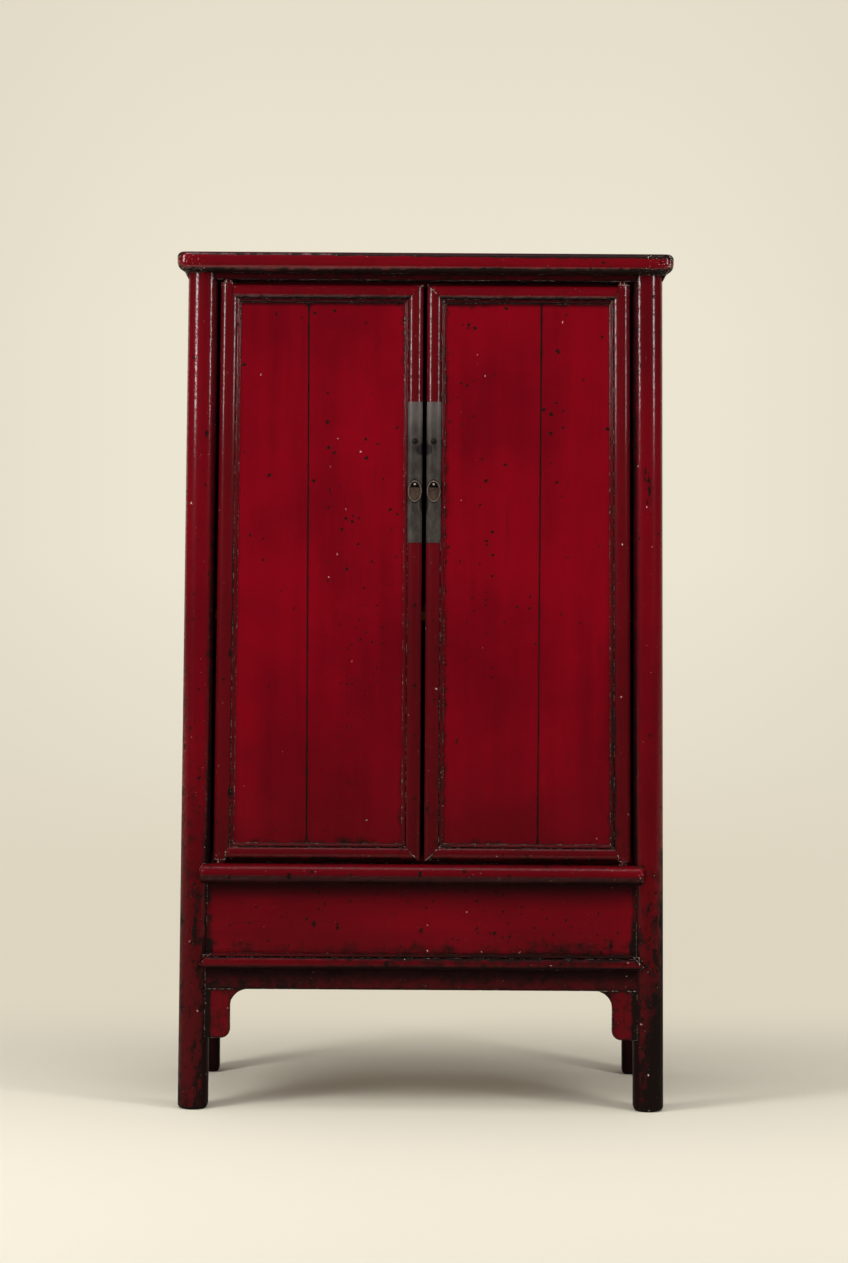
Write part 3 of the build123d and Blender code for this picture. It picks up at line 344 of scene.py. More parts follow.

# %% [markdown]
# ## Worn red lacquer
# The wood was painted with many coats of dark red lacquer, and a century of hands, dust and knocks has
# worked on it. Seen close, five things happen: the red is cloudy and streaked along the grain, edges and
# grooves have gone brown-black, pits and chips show the dark ground, sharp corners are rubbed to pale
# flecks, and the gloss is broken. On top of these, some pale flecks are painted glints, and some darkening
# is painted shade under and between the pieces. A painted texture could show all this, but it would have
# to be painted for every piece. Noise and the piece's own shape put each mark where hands, dust and light
# would have put it.

# %% Lacquer colours
RED_BRIGHT = screen(125, 0, 17)
RED_DEEP = screen(96, 0, 12)
RED_BROWN = screen(64, 9, 12)
# Stain and ground also colour the painted shade that adds to the force of the wear.
STAIN = screen(38, 10, 9)
GROUND = screen(20, 13, 10)
GROUND_LIGHT = screen(36, 16, 14)
# The black of old soot, and of painted shade.
SOOT_AND_SHADE = screen(24, 4, 6)
# Pale: rubbed wood, and painted glints.
PALE = screen(206, 180, 166)

GRAIN_UP = (1.0, 1.0, 0.07)
GRAIN_ACROSS = (0.07, 1.0, 1.0)
GRAIN_DEEP = (1.0, 0.07, 1.0)
print("ground colour", GROUND)

# %% [markdown]
# ### Edges, ovals and pits
# Edges are found by the Bevel node: it gives the direction that a surface would face if its edges were
# rounder, so the two directions differ only close to an edge or a groove. Pits are the cells of a Voronoi
# pattern, each with a chance of its own to hold a pit, and a size that is mostly small.

# %% Edges, ovals and pits
EDGE_REACH = 0.008          # metres on either side of an edge that the Bevel node sees
SHARP_REACH = 0.003         # the same for the pale flecks
WOBBLE = 0.009              # metres: how ragged the outline of a pit is


def edges(finish, reach):
    """Nearly 0 on plain surfaces and rising towards 1 on edges and in grooves."""
    normal = finish.add("ShaderNodeNewGeometry", {}, {}, "Normal")
    rounder = finish.add("ShaderNodeBevel", {"samples": 6}, {"Radius": reach})
    same = finish.add("ShaderNodeVectorMath", {"operation": "DOT_PRODUCT"}, {0: normal, 1: rounder}, "Value")
    return (1 - same) ** 0.5


def larger(finish, first, second):
    """The larger of two masks, kept between 0 and 1."""
    return finish.add("ShaderNodeMath", {"operation": "MAXIMUM", "use_clamp": True}, {0: first, 1: second})


def smaller(finish, first, second):
    """The smaller of two values."""
    return finish.add("ShaderNodeMath", {"operation": "MINIMUM"}, {0: first, 1: second})


def ragged(finish):
    """Places shifted this way and that by a millimetre or so, which gives round spots ragged outlines."""
    wobble = finish.add("ShaderNodeTexNoise", {}, {"Vector": finish.place, "Scale": 260.0}, "Color")
    return finish.add("ShaderNodeVectorMath", {"operation": "MULTIPLY_ADD"},
                      {0: wobble, 1: (WOBBLE, WOBBLE, WOBBLE), 2: finish.place})


def oval(across, along):
    """How far a place is from the middle of an oval: 1 on its outline.

    Across and along are each a coordinate, its value in the middle, and half the size of the oval.
    """
    across, along = [(value - centre) / half for value, centre, half in (across, along)]
    return (across * across + along * along) ** 0.5


def pits(finish, places, scale, share, small, spread, stretch=(1, 1, 1)):
    """Spots in a share of the cells of a Voronoi pattern, most of them near the smallest size.

    A spot's radius is (small + spread * chance * chance) / scale metres.
    """
    places = finish.add("ShaderNodeVectorMath", {"operation": "MULTIPLY"}, {0: places, 1: stretch})
    cell = {"Vector": places, "Scale": scale}
    distance = finish.add("ShaderNodeTexVoronoi", {}, cell, "Distance")
    chance = finish.add("ShaderNodeTexVoronoi", {}, cell, "Color")
    chosen = finish.add("ShaderNodeSeparateColor", {}, {0: chance}, "Red")
    width = finish.add("ShaderNodeSeparateColor", {}, {0: chance}, "Green")
    radius = width * width * spread + small
    return step(finish, distance, radius, radius * 0.75) * step(finish, share - chosen, 0.0, 0.01)


print("edges are looked for within", EDGE_REACH * 1000, "mm")

# %% [markdown]
# ### One recipe for all the lacquer
# All pieces were lacquered alike and then worn each in its own way. So one function mixes the lacquer, its
# arguments set the strength of each kind of wear, and up to three small functions add what belongs to one
# kind of piece. All wear adds up to one force, and so does painted shade on faces that look down and in the
# places that each piece adds. A low force turns the red to brown stain and a higher one bares the ground, so
# stain always surrounds the bare places, as it does on real lacquer.
#
# The gloss is a clear coat over the red. Hand-brushed lacquer has an uneven skin, and a long highlight on
# it glitters, so a fine noise breaks the coat up. The coat is lost where the lacquer is gone, close to the
# floor, and under the dust on faces that look up.

# %% Lacquer recipe
STAIN_FORCE = (0.16, 0.44)  # the force at which the stain begins, and the one at which it is full
BARE_FORCE = (0.42, 0.56)   # the same for the bare ground
FLECK_FORCE = (0.53, 0.60)  # the same for the pale flecks on sharp edges
FLECK_PLACES = (0.47, 0.53)             # the noise between which stretches of an edge begin to have flecks
BROWN_HEIGHTS = (0.95, 0.1)             # metres: where the red begins to turn brown, and is brownest
MATT_HEIGHTS = (0.62, 0.2)  # metres: where the gloss begins to go, and is least
# Painted gradient of light: the red is painted a little brighter high up, as the light from above falls.
LIGHT_GRADIENT_HEIGHT = 1.15           # metres: above it the red is a little brighter, below it a little deeper
GLINT_HEIGHT = 1.5          # metres: above it the highlights are a little more whole
LONG_HOLES = (1.0, 1.0, 0.5)
ROUGH, COAT_ROUGH = 0.36, 0.12
SKIN = 0.16                 # mm: how uneven the dried lacquer's skin is
SPARKLE = 0.47              # a highlight breaks up where the noise is below this


def lacquer(name, grain, wear=1.0, specks=1.0, rub=1.0, blotch=1.15, deep=0.0, dim=0.8, sparkle=0.85,
            extra=None, soot=None, worn=None):
    """Worn red lacquer, with its grain along one axis.

    force = edge + break-up noise + patches + height + painted shade on faces that look down + what the piece
    adds. Wear, specks, rub and blotch are the strengths of the edges, pits, flecks and patches. Deep is how
    brown the red is, dim how brown it is near the floor, and sparkle how broken the gloss. Extra, soot and
    worn are the piece's own functions: they add wear and painted shade to the force, blacken a share of the
    colour with soot and painted shade, and add pale flecks of rubbed wood and painted glints.
    """
    finish = Finish(name)
    height = finish.xyz[2]
    turned = finish.add("ShaderNodeTexCoord", {}, {}, "Normal")
    sideways, up = [finish.add("ShaderNodeSeparateXYZ", {}, {0: turned}, axis) for axis in "XZ"]
    clouds = noise(finish, 3.4, detail=4, shift=3.1)
    streaks = noise(finish, 24, grain, detail=5, roughness=0.6)
    fibres = noise(finish, 170, grain, detail=3, roughness=0.6)
    breakup = noise(finish, 42, detail=8, roughness=0.75, shift=7.7)
    patches = noise(finish, 7.5, grain, detail=5, roughness=0.65, shift=1.3)
    flecks = noise(finish, 150, detail=2, roughness=0.7, shift=4.4)
    skin = noise(finish, 300, detail=2, roughness=0.6, shift=2.2)
    ripples = noise(finish, 5.5, detail=2)

    # The red: cloudy and streaked, with a painted gradient of light that makes it brighter higher up, and
    # browner low down and along its fibres.
    tone = step(finish, clouds * 0.65 + streaks * 0.35 + (height - LIGHT_GRADIENT_HEIGHT) * 0.1, 0.34, 0.66)
    red = blend(finish, tone, RED_DEEP, RED_BRIGHT)
    low = step(finish, height, *BROWN_HEIGHTS)
    red = blend(finish, deep + low * (dim - deep * dim), red, RED_BROWN)
    red = blend(finish, step(finish, fibres * 0.5 + streaks * 0.5, 0.56, 0.70) * 0.4, red, RED_BROWN)

    # The force of the wear and of the painted shade: stain where it is low, bare ground where it is higher.
    # Faces that look down are painted into shade: they add to the force below.
    under = step(finish, up, -0.25, -0.75)
    force = edges(finish, EDGE_REACH) * (1.3 * wear) + (breakup - 0.5) * 1.6 + (patches - 0.5) * blotch
    force = force + low * 0.24 + under * 0.5
    if extra is not None:
        force = force + extra(finish, sideways, up)
    stained = step(finish, force, *STAIN_FORCE)
    bare = step(finish, force, *BARE_FORCE)

    # Pits, which crowd in the worn patches and low down. A few small pale spots are painted glints of dents
    # that catch the light.
    places = ragged(finish)
    crowd = specks * (step(finish, patches, 0.48, 0.68) * 0.6 + low * 0.28 + 0.06)
    small_holes = pits(finish, places, 75, crowd, 0.09, 0.28)
    long_holes = pits(finish, places, 40, crowd * 0.7, 0.06, 0.20, LONG_HOLES)
    bare = larger(finish, bare, larger(finish, small_holes, long_holes))
    glint_specks = pits(finish, places, 62, crowd * 0.3, 0.05, 0.11)

    # Pale flecks along stretches of the sharpest edges: rubbed wood, and painted glints of a broken
    # highlight.
    corner = edges(finish, SHARP_REACH) * (0.9 * rub) + (skin - 0.5) * 2.2
    if worn is not None:
        corner = corner + worn(finish, sideways, up)
    rubbed = step(finish, corner, *FLECK_FORCE) * step(finish, breakup, *FLECK_PLACES)
    pale = larger(finish, glint_specks, rubbed * min(0.95, rub))

    # The colours one over the other: red, stain (with painted shade), ground, soot and painted shade, pale
    # flecks and painted glints.
    ground = blend(finish, step(finish, fibres, 0.52, 0.7) * 0.6, GROUND, GROUND_LIGHT)
    colour = blend(finish, stained * 0.72, red, STAIN)
    colour = blend(finish, bare * 0.95, colour, ground)
    if soot is not None:
        sooty_and_shaded = soot(finish, sideways, up)
        colour = blend(finish, sooty_and_shaded, colour, SOOT_AND_SHADE)
        pale = pale * (1 - sooty_and_shaded * 0.8)
    colour = blend(finish, pale, colour, PALE)

    # The relief in millimetres, and the gloss.
    relief = streaks * 0.10 + fibres * 0.03 + ripples * 0.7 - bare * 0.20 + flecks * 0.14 + skin * SKIN
    normal = finish.add("ShaderNodeBump", {}, {"Strength": 1.0, "Distance": 0.001, "Height": relief})
    dull = larger(finish, bare, stained * 0.35)
    matt = step(finish, height, *MATT_HEIGHTS)
    shining = skin * 0.6 + flecks * 0.4 + (height - GLINT_HEIGHT) * 0.09
    whole = step(finish, shining, SPARKLE, SPARKLE + 0.06)
    dusty = step(finish, up, 0.6, 0.95) * 0.93
    gloss = (1 - dull * 0.93) * (1 - matt * 0.75) * (1 - dusty) * (whole * sparkle + (1 - sparkle))
    surface = finish.add("ShaderNodeBsdfPrincipled", {},
                         {"Base Color": colour, "Roughness": ROUGH + dull * 0.2, "Normal": normal,
                          "Specular IOR Level": 0.05, "Coat Weight": gloss, "Coat Roughness": COAT_ROUGH,
                          "Coat IOR": 1.5})
    finish.add("ShaderNodeOutputMaterial", {}, {"Surface": surface})
    return finish.material


print("a recipe for lacquer, with a skin", SKIN, "mm uneven")

# %% [markdown]
# ### Where the grime and the painted shade sit
# Dirt stays where a duster doesn't reach, as in the joint between two boards. Along the frames, under the
# ledge and under the cap, and on faces turned from the lamps, the darkening is painted shade. Those places
# are measured on the pieces themselves, so the marks would follow them if a rail moved. The posts and the
# doors' outer stiles lean inwards, and so do their marks. Each function of grime and of shade is given the
# finish, and how far a face looks sideways and up, from -1 to 1. It uses what it needs of them.

# %% Places on the cabinet
LEAN = 0.01023              # metres that the posts and outer stiles lean inwards per metre of height
DOOR_CENTRE = 0.22          # metres: about the middle of a door, sideways
SCARS_MIDDLE = (0.465, 1.29)            # metres to the right and up: the scars on the right-hand post
SCARS_HALF = (0.014, 0.11)  # metres: half their width and height


def least(box, axis):
    """Where a box begins along X, Y or Z."""
    return box[0]["XYZ".index(axis)]


def most(box, axis):
    """Where a box ends along X, Y or Z."""
    return box[1]["XYZ".index(axis)]


def middle(box, axis):
    """The middle of a box along X, Y or Z."""
    return (least(box, axis) + most(box, axis)) / 2


pivot_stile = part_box("left_door_pivot_stile")
door_top_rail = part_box("left_door_top_rail")
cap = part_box("cap_front_rail")
waist_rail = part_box("waist_rail")
lower_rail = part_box("front_lower_rail")
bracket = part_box("front_left_bracket")
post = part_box("front_left_post")

DOOR_MIDDLE = middle(pivot_stile, "Z")
DOOR_HALF = most(pivot_stile, "Z") - DOOR_MIDDLE
DOOR_TOP = most(door_top_rail, "Z")
BOARDS_TOP = least(door_top_rail, "Z")
BOARDS_FOOT = most(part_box("left_door_bottom_rail"), "Z")
BOARD_JOINT = -middle((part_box("left_door_outer_board")[1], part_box("left_door_inner_board")[0]), "X")
MEETING_EDGE = -least(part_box("left_door_meeting_stile"), "X")
PIVOT_EDGE = LEAN * BOARDS_TOP - most(pivot_stile, "X")     # where it would stand if it ran down to the floor
POST_EDGE = LEAN * most(post, "Z") - most(post, "X")        # the same for the inner side of a post
PANEL_END = POST_EDGE - LEAN * middle(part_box("lower_panel"), "Z")
BRACKET_END = POST_EDGE - LEAN * middle(bracket, "Z")
BRACKET_TOP = most(bracket, "Z")
CAP_FOOT, CAP_TOP = least(cap, "Z"), most(cap, "Z")
WAIST_FOOT, WAIST_END = least(waist_rail, "Z"), most(waist_rail, "X")
LOWER_FOOT, LOWER_TOP = least(lower_rail, "Z"), most(lower_rail, "Z")
APRON_TOP = most(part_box("front_apron"), "Z")
print("the door boards show from", round(BOARDS_FOOT, 3), "to", round(BOARDS_TOP, 3), "metres up")

# %% [markdown]
# ### Grime and painted shade on the doors
# The boards carry painted shade against their frame and under the top rail, and a dark line in their
# joint. The frame is darker in the moulding next to the boards, its top rail carries painted shade, and its
# mitred corners have been knocked most: their pale flecks are rubbed wood and painted glints.

# %% Door grime and painted shade
def panel_rim_shade_and_seam(finish, sideways, up):
    """Painted shade on the door boards that grows towards the frame that holds them, and a dark line in their
    joint.
    """
    x, y, z = finish.xyz
    to_sides = smaller(finish, abs(x) - MEETING_EDGE, PIVOT_EDGE - z * LEAN - abs(x))
    to_rails = smaller(finish, z - BOARDS_FOOT, BOARDS_TOP - z)
    to_joint = abs(abs(x) - BOARD_JOINT)
    seam = step(finish, to_joint + (noise(finish, 9, detail=3) - 0.5) * 0.003, 0.0022, 0.0004)
    return step(finish, smaller(finish, to_sides, to_rails), 0.018, 0.0) * 0.34 + seam * 0.5 - 0.16


def panel_shade_under_rail(finish, sideways, up):
    """Painted shade: a soft dark edge on the boards under the top rail of the door."""
    return step(finish, finish.xyz[2], BOARDS_TOP - 0.010, BOARDS_TOP + 0.001) * 0.8


def door_rail_shade(finish, sideways, up):
    """Painted shade on the door's top rail: in the moulding on its lower side, and in a thin line along its
    top.
    """
    z = finish.xyz[2]
    upper_half = step(finish, z, DOOR_MIDDLE, DOOR_MIDDLE + 0.1)
    moulding = step(finish, z, BOARDS_TOP + 0.020, BOARDS_TOP + 0.013) * upper_half
    return larger(finish, moulding * 0.72, step(finish, z, DOOR_TOP - 0.0052, DOOR_TOP - 0.0032) * 0.88)


def stile_moulding_dark(finish, sideways, up):
    """Darker in the moulding next to the boards, on the pivot stile and on the meeting stile."""
    x, y, z = finish.xyz
    beside_pivot = step(finish, abs(x) + z * LEAN - PIVOT_EDGE, 0.018, 0.011)
    beside_gap = step(finish, abs(x), MEETING_EDGE - 0.0175, MEETING_EDGE - 0.0125)
    return beside_pivot * beside_gap * (0.08 + step(finish, abs(x), 0.1, 0.2) * 0.2) - 0.05


def corner_glints(finish, sideways, up):
    """Pale flecks on the mitred corners of the doors: rubbed wood and painted glints."""
    x, y, z = finish.xyz
    mitres = step(finish, abs(abs(x) - DOOR_CENTRE), 0.165, 0.20)
    return step(finish, abs(z - DOOR_MIDDLE), DOOR_HALF - 0.05, DOOR_HALF) * mitres * 0.3 + 0.02


print("grime for the doors")

# %% [markdown]
# ### Grime and painted shade on the cap and the rails
# Lamp smoke has settled on top of the cap; under it, the cap and the rail beneath carry painted shade.
# Rounded edges are worn by hands, and the ends of the rails by everything that was carried past, with pale
# flecks that are partly painted glints. The underside of the ledge over the lower panel carries painted
# shade.

# %% Cap and rail grime and painted shade
def cap_wear_and_shade(finish, sideways, up):
    """Wear on the rounded top of the cap and painted shade on its underside, where the surface turns from
    upright.
    """
    z = finish.xyz[2]
    top_edge = step(finish, z, CAP_TOP - 0.017, CAP_TOP - 0.002) * 0.5
    # Painted shade along the lower edge of the cap and on faces that look down.
    low_edge = step(finish, z, CAP_FOOT + 0.015, CAP_FOOT) * 0.3 + step(finish, up, -0.15, -0.5) * 0.2
    rounding = step(finish, up, 0.02, 0.55) * 0.4 - step(finish, up, 0.75, 0.95) * 0.75
    return top_edge + low_edge + rounding - 0.02


def cap_soot(finish, sideways, up):
    """Old dust on top of the cap, dark from a century of lamp smoke."""
    return step(finish, up, 0.30, 0.8) * 0.45


def end_glints(finish, sideways, up):
    """Pale flecks crowd on the ends of the front rails and of the cap, where things knock against them: bare
    wood and painted glints.
    """
    return step(finish, abs(finish.xyz[0]), WAIST_END - 0.036, WAIST_END - 0.001) * 0.22


def frame_wear(finish, sideways, up):
    """Rails get grimy where they face up."""
    return step(finish, up, 0.3, 0.9) * 0.25 - 0.06


def even_wear_and_shade(finish, sideways, up):
    """The same wear and painted shade from end to end, for the rail under the cap and the apron, which sit in
    shade.
    """
    return 0.3


def top_rail_shade(finish, sideways, up):
    """Painted shade on the rail under the cap, darkest right under it."""
    return step(finish, finish.xyz[2], CAP_FOOT - 0.023, CAP_FOOT - 0.003) * 0.3 + 0.45


def ledge_underside_shade(finish, sideways, up):
    """Painted shade: the lower half of the ledge and of the lower rail, and faces that look down, are
    brown-black.
    """
    z = finish.xyz[2]
    above = step(finish, z, LOWER_TOP, WAIST_FOOT)
    on_ledge = step(finish, z, WAIST_FOOT + 0.0236, WAIST_FOOT + 0.0156) * above
    on_lower_rail = step(finish, z, LOWER_FOOT + 0.0105, LOWER_FOOT + 0.0035)
    return larger(finish, larger(finish, on_ledge, on_lower_rail), step(finish, up, -0.1, -0.6)) * 0.8


print("grime for the cap and the rails")

# %% [markdown]
# ### Grime and painted shade below the doors and on the posts
# The floor's dirt climbs up the feet, most of all on the right-hand one. Painted shade makes the posts nearly
# black where they face the doors and darkens the back feet, the lower panel under the ledge and at its ends,
# the apron under the lower rail and the brackets by the posts. Something once knocked a row of scars into
# the right-hand post.

# %% Lower grime, post grime and painted shade
def lower_rim(finish, sideways, up):
    """Darker along the ends of the lower panel, painted shade against the posts, and along its lower edge."""
    x, y, z = finish.xyz
    ends = step(finish, abs(x), PANEL_END - 0.012, PANEL_END)
    return step(finish, z, LOWER_TOP + 0.043, LOWER_TOP + 0.003) * 0.24 + ends * 0.5 - 0.16


def ledge_shadow_on_panel(finish, sideways, up):
    """Painted shadow of the ledge on the lower panel, close under it."""
    return step(finish, finish.xyz[2], WAIST_FOOT - 0.054, WAIST_FOOT) * 0.9


def apron_shade(finish, sideways, up):
    """Painted shade on the apron, close under the lower rail."""
    return step(finish, finish.xyz[2], APRON_TOP - 0.038, APRON_TOP - 0.010) * 0.85


def bracket_shade(finish, sideways, up):
    """Painted shade on the brackets where they meet the posts and the apron."""
    x, y, z = finish.xyz
    at_post = step(finish, abs(x), BRACKET_END - 0.009, BRACKET_END) * 0.5
    return at_post + step(finish, z, BRACKET_TOP - 0.020, BRACKET_TOP + 0.007) * 0.2 - 0.08


def to_doors(finish, sideways):
    """How far a face of a post looks towards the middle of the cabinet, from -1 to 1."""
    x = finish.xyz[0]
    return 0 - sideways * x / abs(x)


def post_wear_and_shade(finish, sideways, up):
    """Painted shade on the sides of the posts that face the doors, darker side faces lower down, scars, and
    grime on the feet.
    """
    x, y, z = finish.xyz
    sides = step(finish, abs(sideways), 0.7, 0.98) * step(finish, z, 1.6, 0.5) * 0.22
    right_foot = step(finish, x, 0.46, 0.5) * step(finish, z, 0.34, 0.03) * 0.75
    scars = step(finish, noise(finish, 55, (1, 1, 0.4), detail=5, roughness=0.7, shift=6.1), 0.50, 0.60)
    out = oval((x, SCARS_MIDDLE[0], SCARS_HALF[0]), (z, SCARS_MIDDLE[1], SCARS_HALF[1]))
    knock = step(finish, out, 1.0, 0.5) * scars * 0.5
    foot = step(finish, z, 0.75, 0.2) * scars * 0.42 + step(finish, z, 0.09, 0.0) * 0.2
    # Painted shade on the faces of a post that are turned towards the doors.
    beside_door = step(finish, to_doors(finish, sideways), 0.5, 0.85) * 0.45
    return beside_door + sides + right_foot + knock + foot - 0.06


def post_side_shade_and_dim_top(finish, sideways, up):
    """Painted shade makes the side of a post that faces the door nearly black, and its top is darker."""
    beside_door = step(finish, to_doors(finish, sideways), 0.45, 0.85) * 0.75
    return larger(finish, beside_door, step(finish, finish.xyz[2], 1.25, 1.7) * 0.25)


def back_foot_shadow(finish, sideways, up):
    """Painted shadow: the back feet stand in the cabinet's shadow, dark from top to bottom."""
    return step(finish, finish.xyz[2], 0.45, 0.25) * 0.9


print("grime for the lower part and the posts")

# %% [markdown]
# ### Mixing the lacquers
# Flat boards keep an even gloss, while rounded rails glitter. The lower a piece is, the more it is pitted
# and stained. Each line below is one such judgement.

# %% Lacquer finishes
post_lacquer = lacquer("post_lacquer", GRAIN_UP, specks=1.5, blotch=1.9, deep=0.28,
                       extra=post_wear_and_shade, soot=post_side_shade_and_dim_top)
back_post_lacquer = lacquer("back_post_lacquer", GRAIN_UP, specks=1.4, blotch=1.9, deep=0.28,
                            extra=post_wear_and_shade, soot=back_foot_shadow)
across_lacquer = lacquer("across_lacquer", GRAIN_ACROSS, wear=1.1, specks=1.3, blotch=1.9, deep=0.12, dim=0.5,
                         extra=frame_wear, soot=ledge_underside_shade, worn=end_glints)
deep_lacquer = lacquer("deep_lacquer", GRAIN_DEEP, sparkle=0.3, extra=frame_wear)
top_rail_lacquer = lacquer("top_rail_lacquer", GRAIN_ACROSS, blotch=1.8, deep=0.3,
                           extra=even_wear_and_shade, soot=top_rail_shade)
cap_across_lacquer = lacquer("cap_across_lacquer", GRAIN_ACROSS, blotch=2.9, deep=0.4, sparkle=0.5,
                             extra=cap_wear_and_shade, soot=cap_soot, worn=end_glints)
cap_deep_lacquer = lacquer("cap_deep_lacquer", GRAIN_DEEP, blotch=2.9, deep=0.4, sparkle=0.5,
                           extra=cap_wear_and_shade, soot=cap_soot, worn=end_glints)
stile_lacquer = lacquer("stile_lacquer", GRAIN_UP, wear=0.5, rub=0.85, deep=0.65, blotch=1.8,
                        extra=stile_moulding_dark, worn=corner_glints)
door_rail_lacquer = lacquer("door_rail_lacquer", GRAIN_ACROSS, wear=0.7, blotch=1.8, rub=0.8, deep=0.4,
                            soot=door_rail_shade, worn=corner_glints)
board_lacquer = lacquer("board_lacquer", GRAIN_UP, specks=0.8, rub=0.0, blotch=1.4, sparkle=0.3,
                        extra=panel_rim_shade_and_seam, soot=panel_shade_under_rail)
lower_panel_lacquer = lacquer("lower_panel_lacquer", GRAIN_ACROSS, specks=0.9, rub=0.3, dim=0.3, sparkle=0.3,
                              extra=lower_rim, soot=ledge_shadow_on_panel)
apron_lacquer = lacquer("apron_lacquer", GRAIN_ACROSS, blotch=1.6, deep=0.6,
                        extra=even_wear_and_shade, soot=apron_shade)
bracket_lacquer = lacquer("bracket_lacquer", GRAIN_UP, specks=1.6, blotch=1.9, dim=0.5, extra=bracket_shade)
side_lacquer = lacquer("side_lacquer", GRAIN_UP, wear=0.95, sparkle=0.25)
print("fourteen mixtures of red lacquer")

# %% [markdown]
# ## Dull lacquer, bare wood
# The back was never meant to be seen and has one thin, dark coat. Inside, the floor, shelf and bearers
# are bare wood, gone brown with age. The lacquer recipe would do more than either needs, so a short one
# streaks a light and a dark colour along the grain.

# %% Back and inside finishes
def dull_wood(name, grain, light, dark, rough):
    """Aged wood: streaks along the grain between a light and a dark colour, with fine fibres."""
    finish = Finish(name)
    streaks = noise(finish, 22, grain, detail=6, roughness=0.62)
    fibres = noise(finish, 240, grain, detail=3, roughness=0.6)
    clouds = noise(finish, 3.0, detail=4, shift=5.0)
    tone = step(finish, streaks * 0.6 + clouds * 0.4 + fibres * 0.25, 0.35, 0.85)
    stained = step(finish, noise(finish, 6.0, detail=5, shift=9.0), 0.58, 0.75) * 0.5
    colour = blend(finish, stained, blend(finish, tone, dark, light), dark)
    colour = blend(finish, edges(finish, EDGE_REACH) * 0.5, colour, dark)
    relief = streaks * 0.12 + fibres * 0.06
    normal = finish.add("ShaderNodeBump", {}, {"Strength": 1.0, "Distance": 0.001, "Height": relief})
    surface = finish.add("ShaderNodeBsdfPrincipled", {},
                         {"Base Color": colour, "Roughness": rough + fibres * 0.15, "Normal": normal,
                          "Specular IOR Level": 0.2})
    finish.add("ShaderNodeOutputMaterial", {}, {"Surface": surface})
    return finish.material


BACK_LIGHT, BACK_DARK = screen(84, 36, 30), screen(30, 15, 13)
BARE_LIGHT, BARE_DARK = screen(138, 98, 66), screen(74, 48, 32)
back_up = dull_wood("back_up", GRAIN_UP, BACK_LIGHT, BACK_DARK, rough=0.5)
back_across = dull_wood("back_across", GRAIN_ACROSS, BACK_LIGHT, BACK_DARK, rough=0.5)
bare_across = dull_wood("bare_across", GRAIN_ACROSS, BARE_LIGHT, BARE_DARK, rough=0.65)
bare_deep = dull_wood("bare_deep", GRAIN_DEEP, BARE_LIGHT, BARE_DARK, rough=0.65)
print("four dull woods")

# %% [markdown]
# ## Iron and bronze
# The face plates are hammered sheet iron, grey-brown and almost matt. The studs are darker and rounder.
# The pulls are old bronze: brown in the hollows, with a paler rim that is a painted highlight. Clean metal
# would mirror the dark room and look black, so the patina is mostly a matt colour. One function makes the
# patina, and each kind of piece then gets its own marks.

# %% Metal recipe
METAL_REACH = 0.0012        # metres on either side of an edge that hands rub bright


def old_metal(name, dark, light, metallic, rough, rub, grain=(1, 1, 1), marks=None):
    """Aged metal: patina clouds between two colours, rubbed bright on its edges, and then its own marks.

    Marks is a function that gives back the colour with the marks on it, and where painted shadow and grime
    hide the metal.
    """
    finish = Finish(name)
    patina = noise(finish, 60, grain, detail=6, roughness=0.65)
    grains = noise(finish, 420, detail=3, roughness=0.6)
    colour = blend(finish, step(finish, patina * 0.75 + grains * 0.25, 0.35, 0.68), dark, light)
    rubbed = step(finish, edges(finish, METAL_REACH) + (grains - 0.5) * 0.4, 0.25, 0.6) * rub
    bright = tuple(min(1.0, value * 2.6 + 0.03) for value in light)
    colour = blend(finish, rubbed, colour, bright)
    shadow_and_grime = 0.0
    if marks is not None:
        colour, shadow_and_grime = marks(finish, colour, grains)
    relief = patina * 0.25 + grains * 0.06
    normal = finish.add("ShaderNodeBump", {}, {"Strength": 1.0, "Distance": 0.001, "Height": relief})
    surface = finish.add("ShaderNodeBsdfPrincipled", {},
                         {"Base Color": colour, "Metallic": metallic - shadow_and_grime * metallic, "Normal": normal,
                          "Roughness": rough + patina * 0.2 - rubbed * 0.15, "Specular IOR Level": 0.2})
    finish.add("ShaderNodeOutputMaterial", {}, {"Surface": surface})
    return finish.material


print("a recipe for old metal")

# %% [markdown]
# ### Marks on the metal
# Painted shadow and grime darken the plate behind and under the pull, round the studs and where the two
# plates almost touch, and a painted sheen lightens its top. The pull's rim and the bead on its stud carry a
# painted highlight. Most marks are ovals worked out from the real pull and studs, so they would move with
# them. A mark is given as its middle and half its size, first sideways from the gap between the doors and
# then up.

# %% Metal marks
PULL_LOW, PULL_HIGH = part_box("right_pull")
PULL_MIDDLE = [(low + high) / 2 for low, high in zip(PULL_LOW, PULL_HIGH)]
PULL_HALF = [(high - low) / 2 for low, high in zip(PULL_LOW, PULL_HIGH)]
LOCK_STUD_UP = middle(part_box("right_lock_stud"), "Z")
PULL_STUD_UP = middle(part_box("right_pull_stud"), "Z")
PLATE_TOP = most(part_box("right_face_plate"), "Z")
# The black on the plates is painted shadow and grime, their pale top a painted sheen; the pull's dark edge is
# painted shade, and its pale lip and the stud's bead are painted highlights.
SHADOW_AND_GRIME = screen(13, 9, 9)
PLATE_SHEEN = screen(128, 120, 116)
PULL_EDGE_SHADE = screen(26, 18, 16)
PULL_LIP_HIGHLIGHT = screen(165, 146, 132)
BEAD_HIGHLIGHT = screen(176, 160, 148)

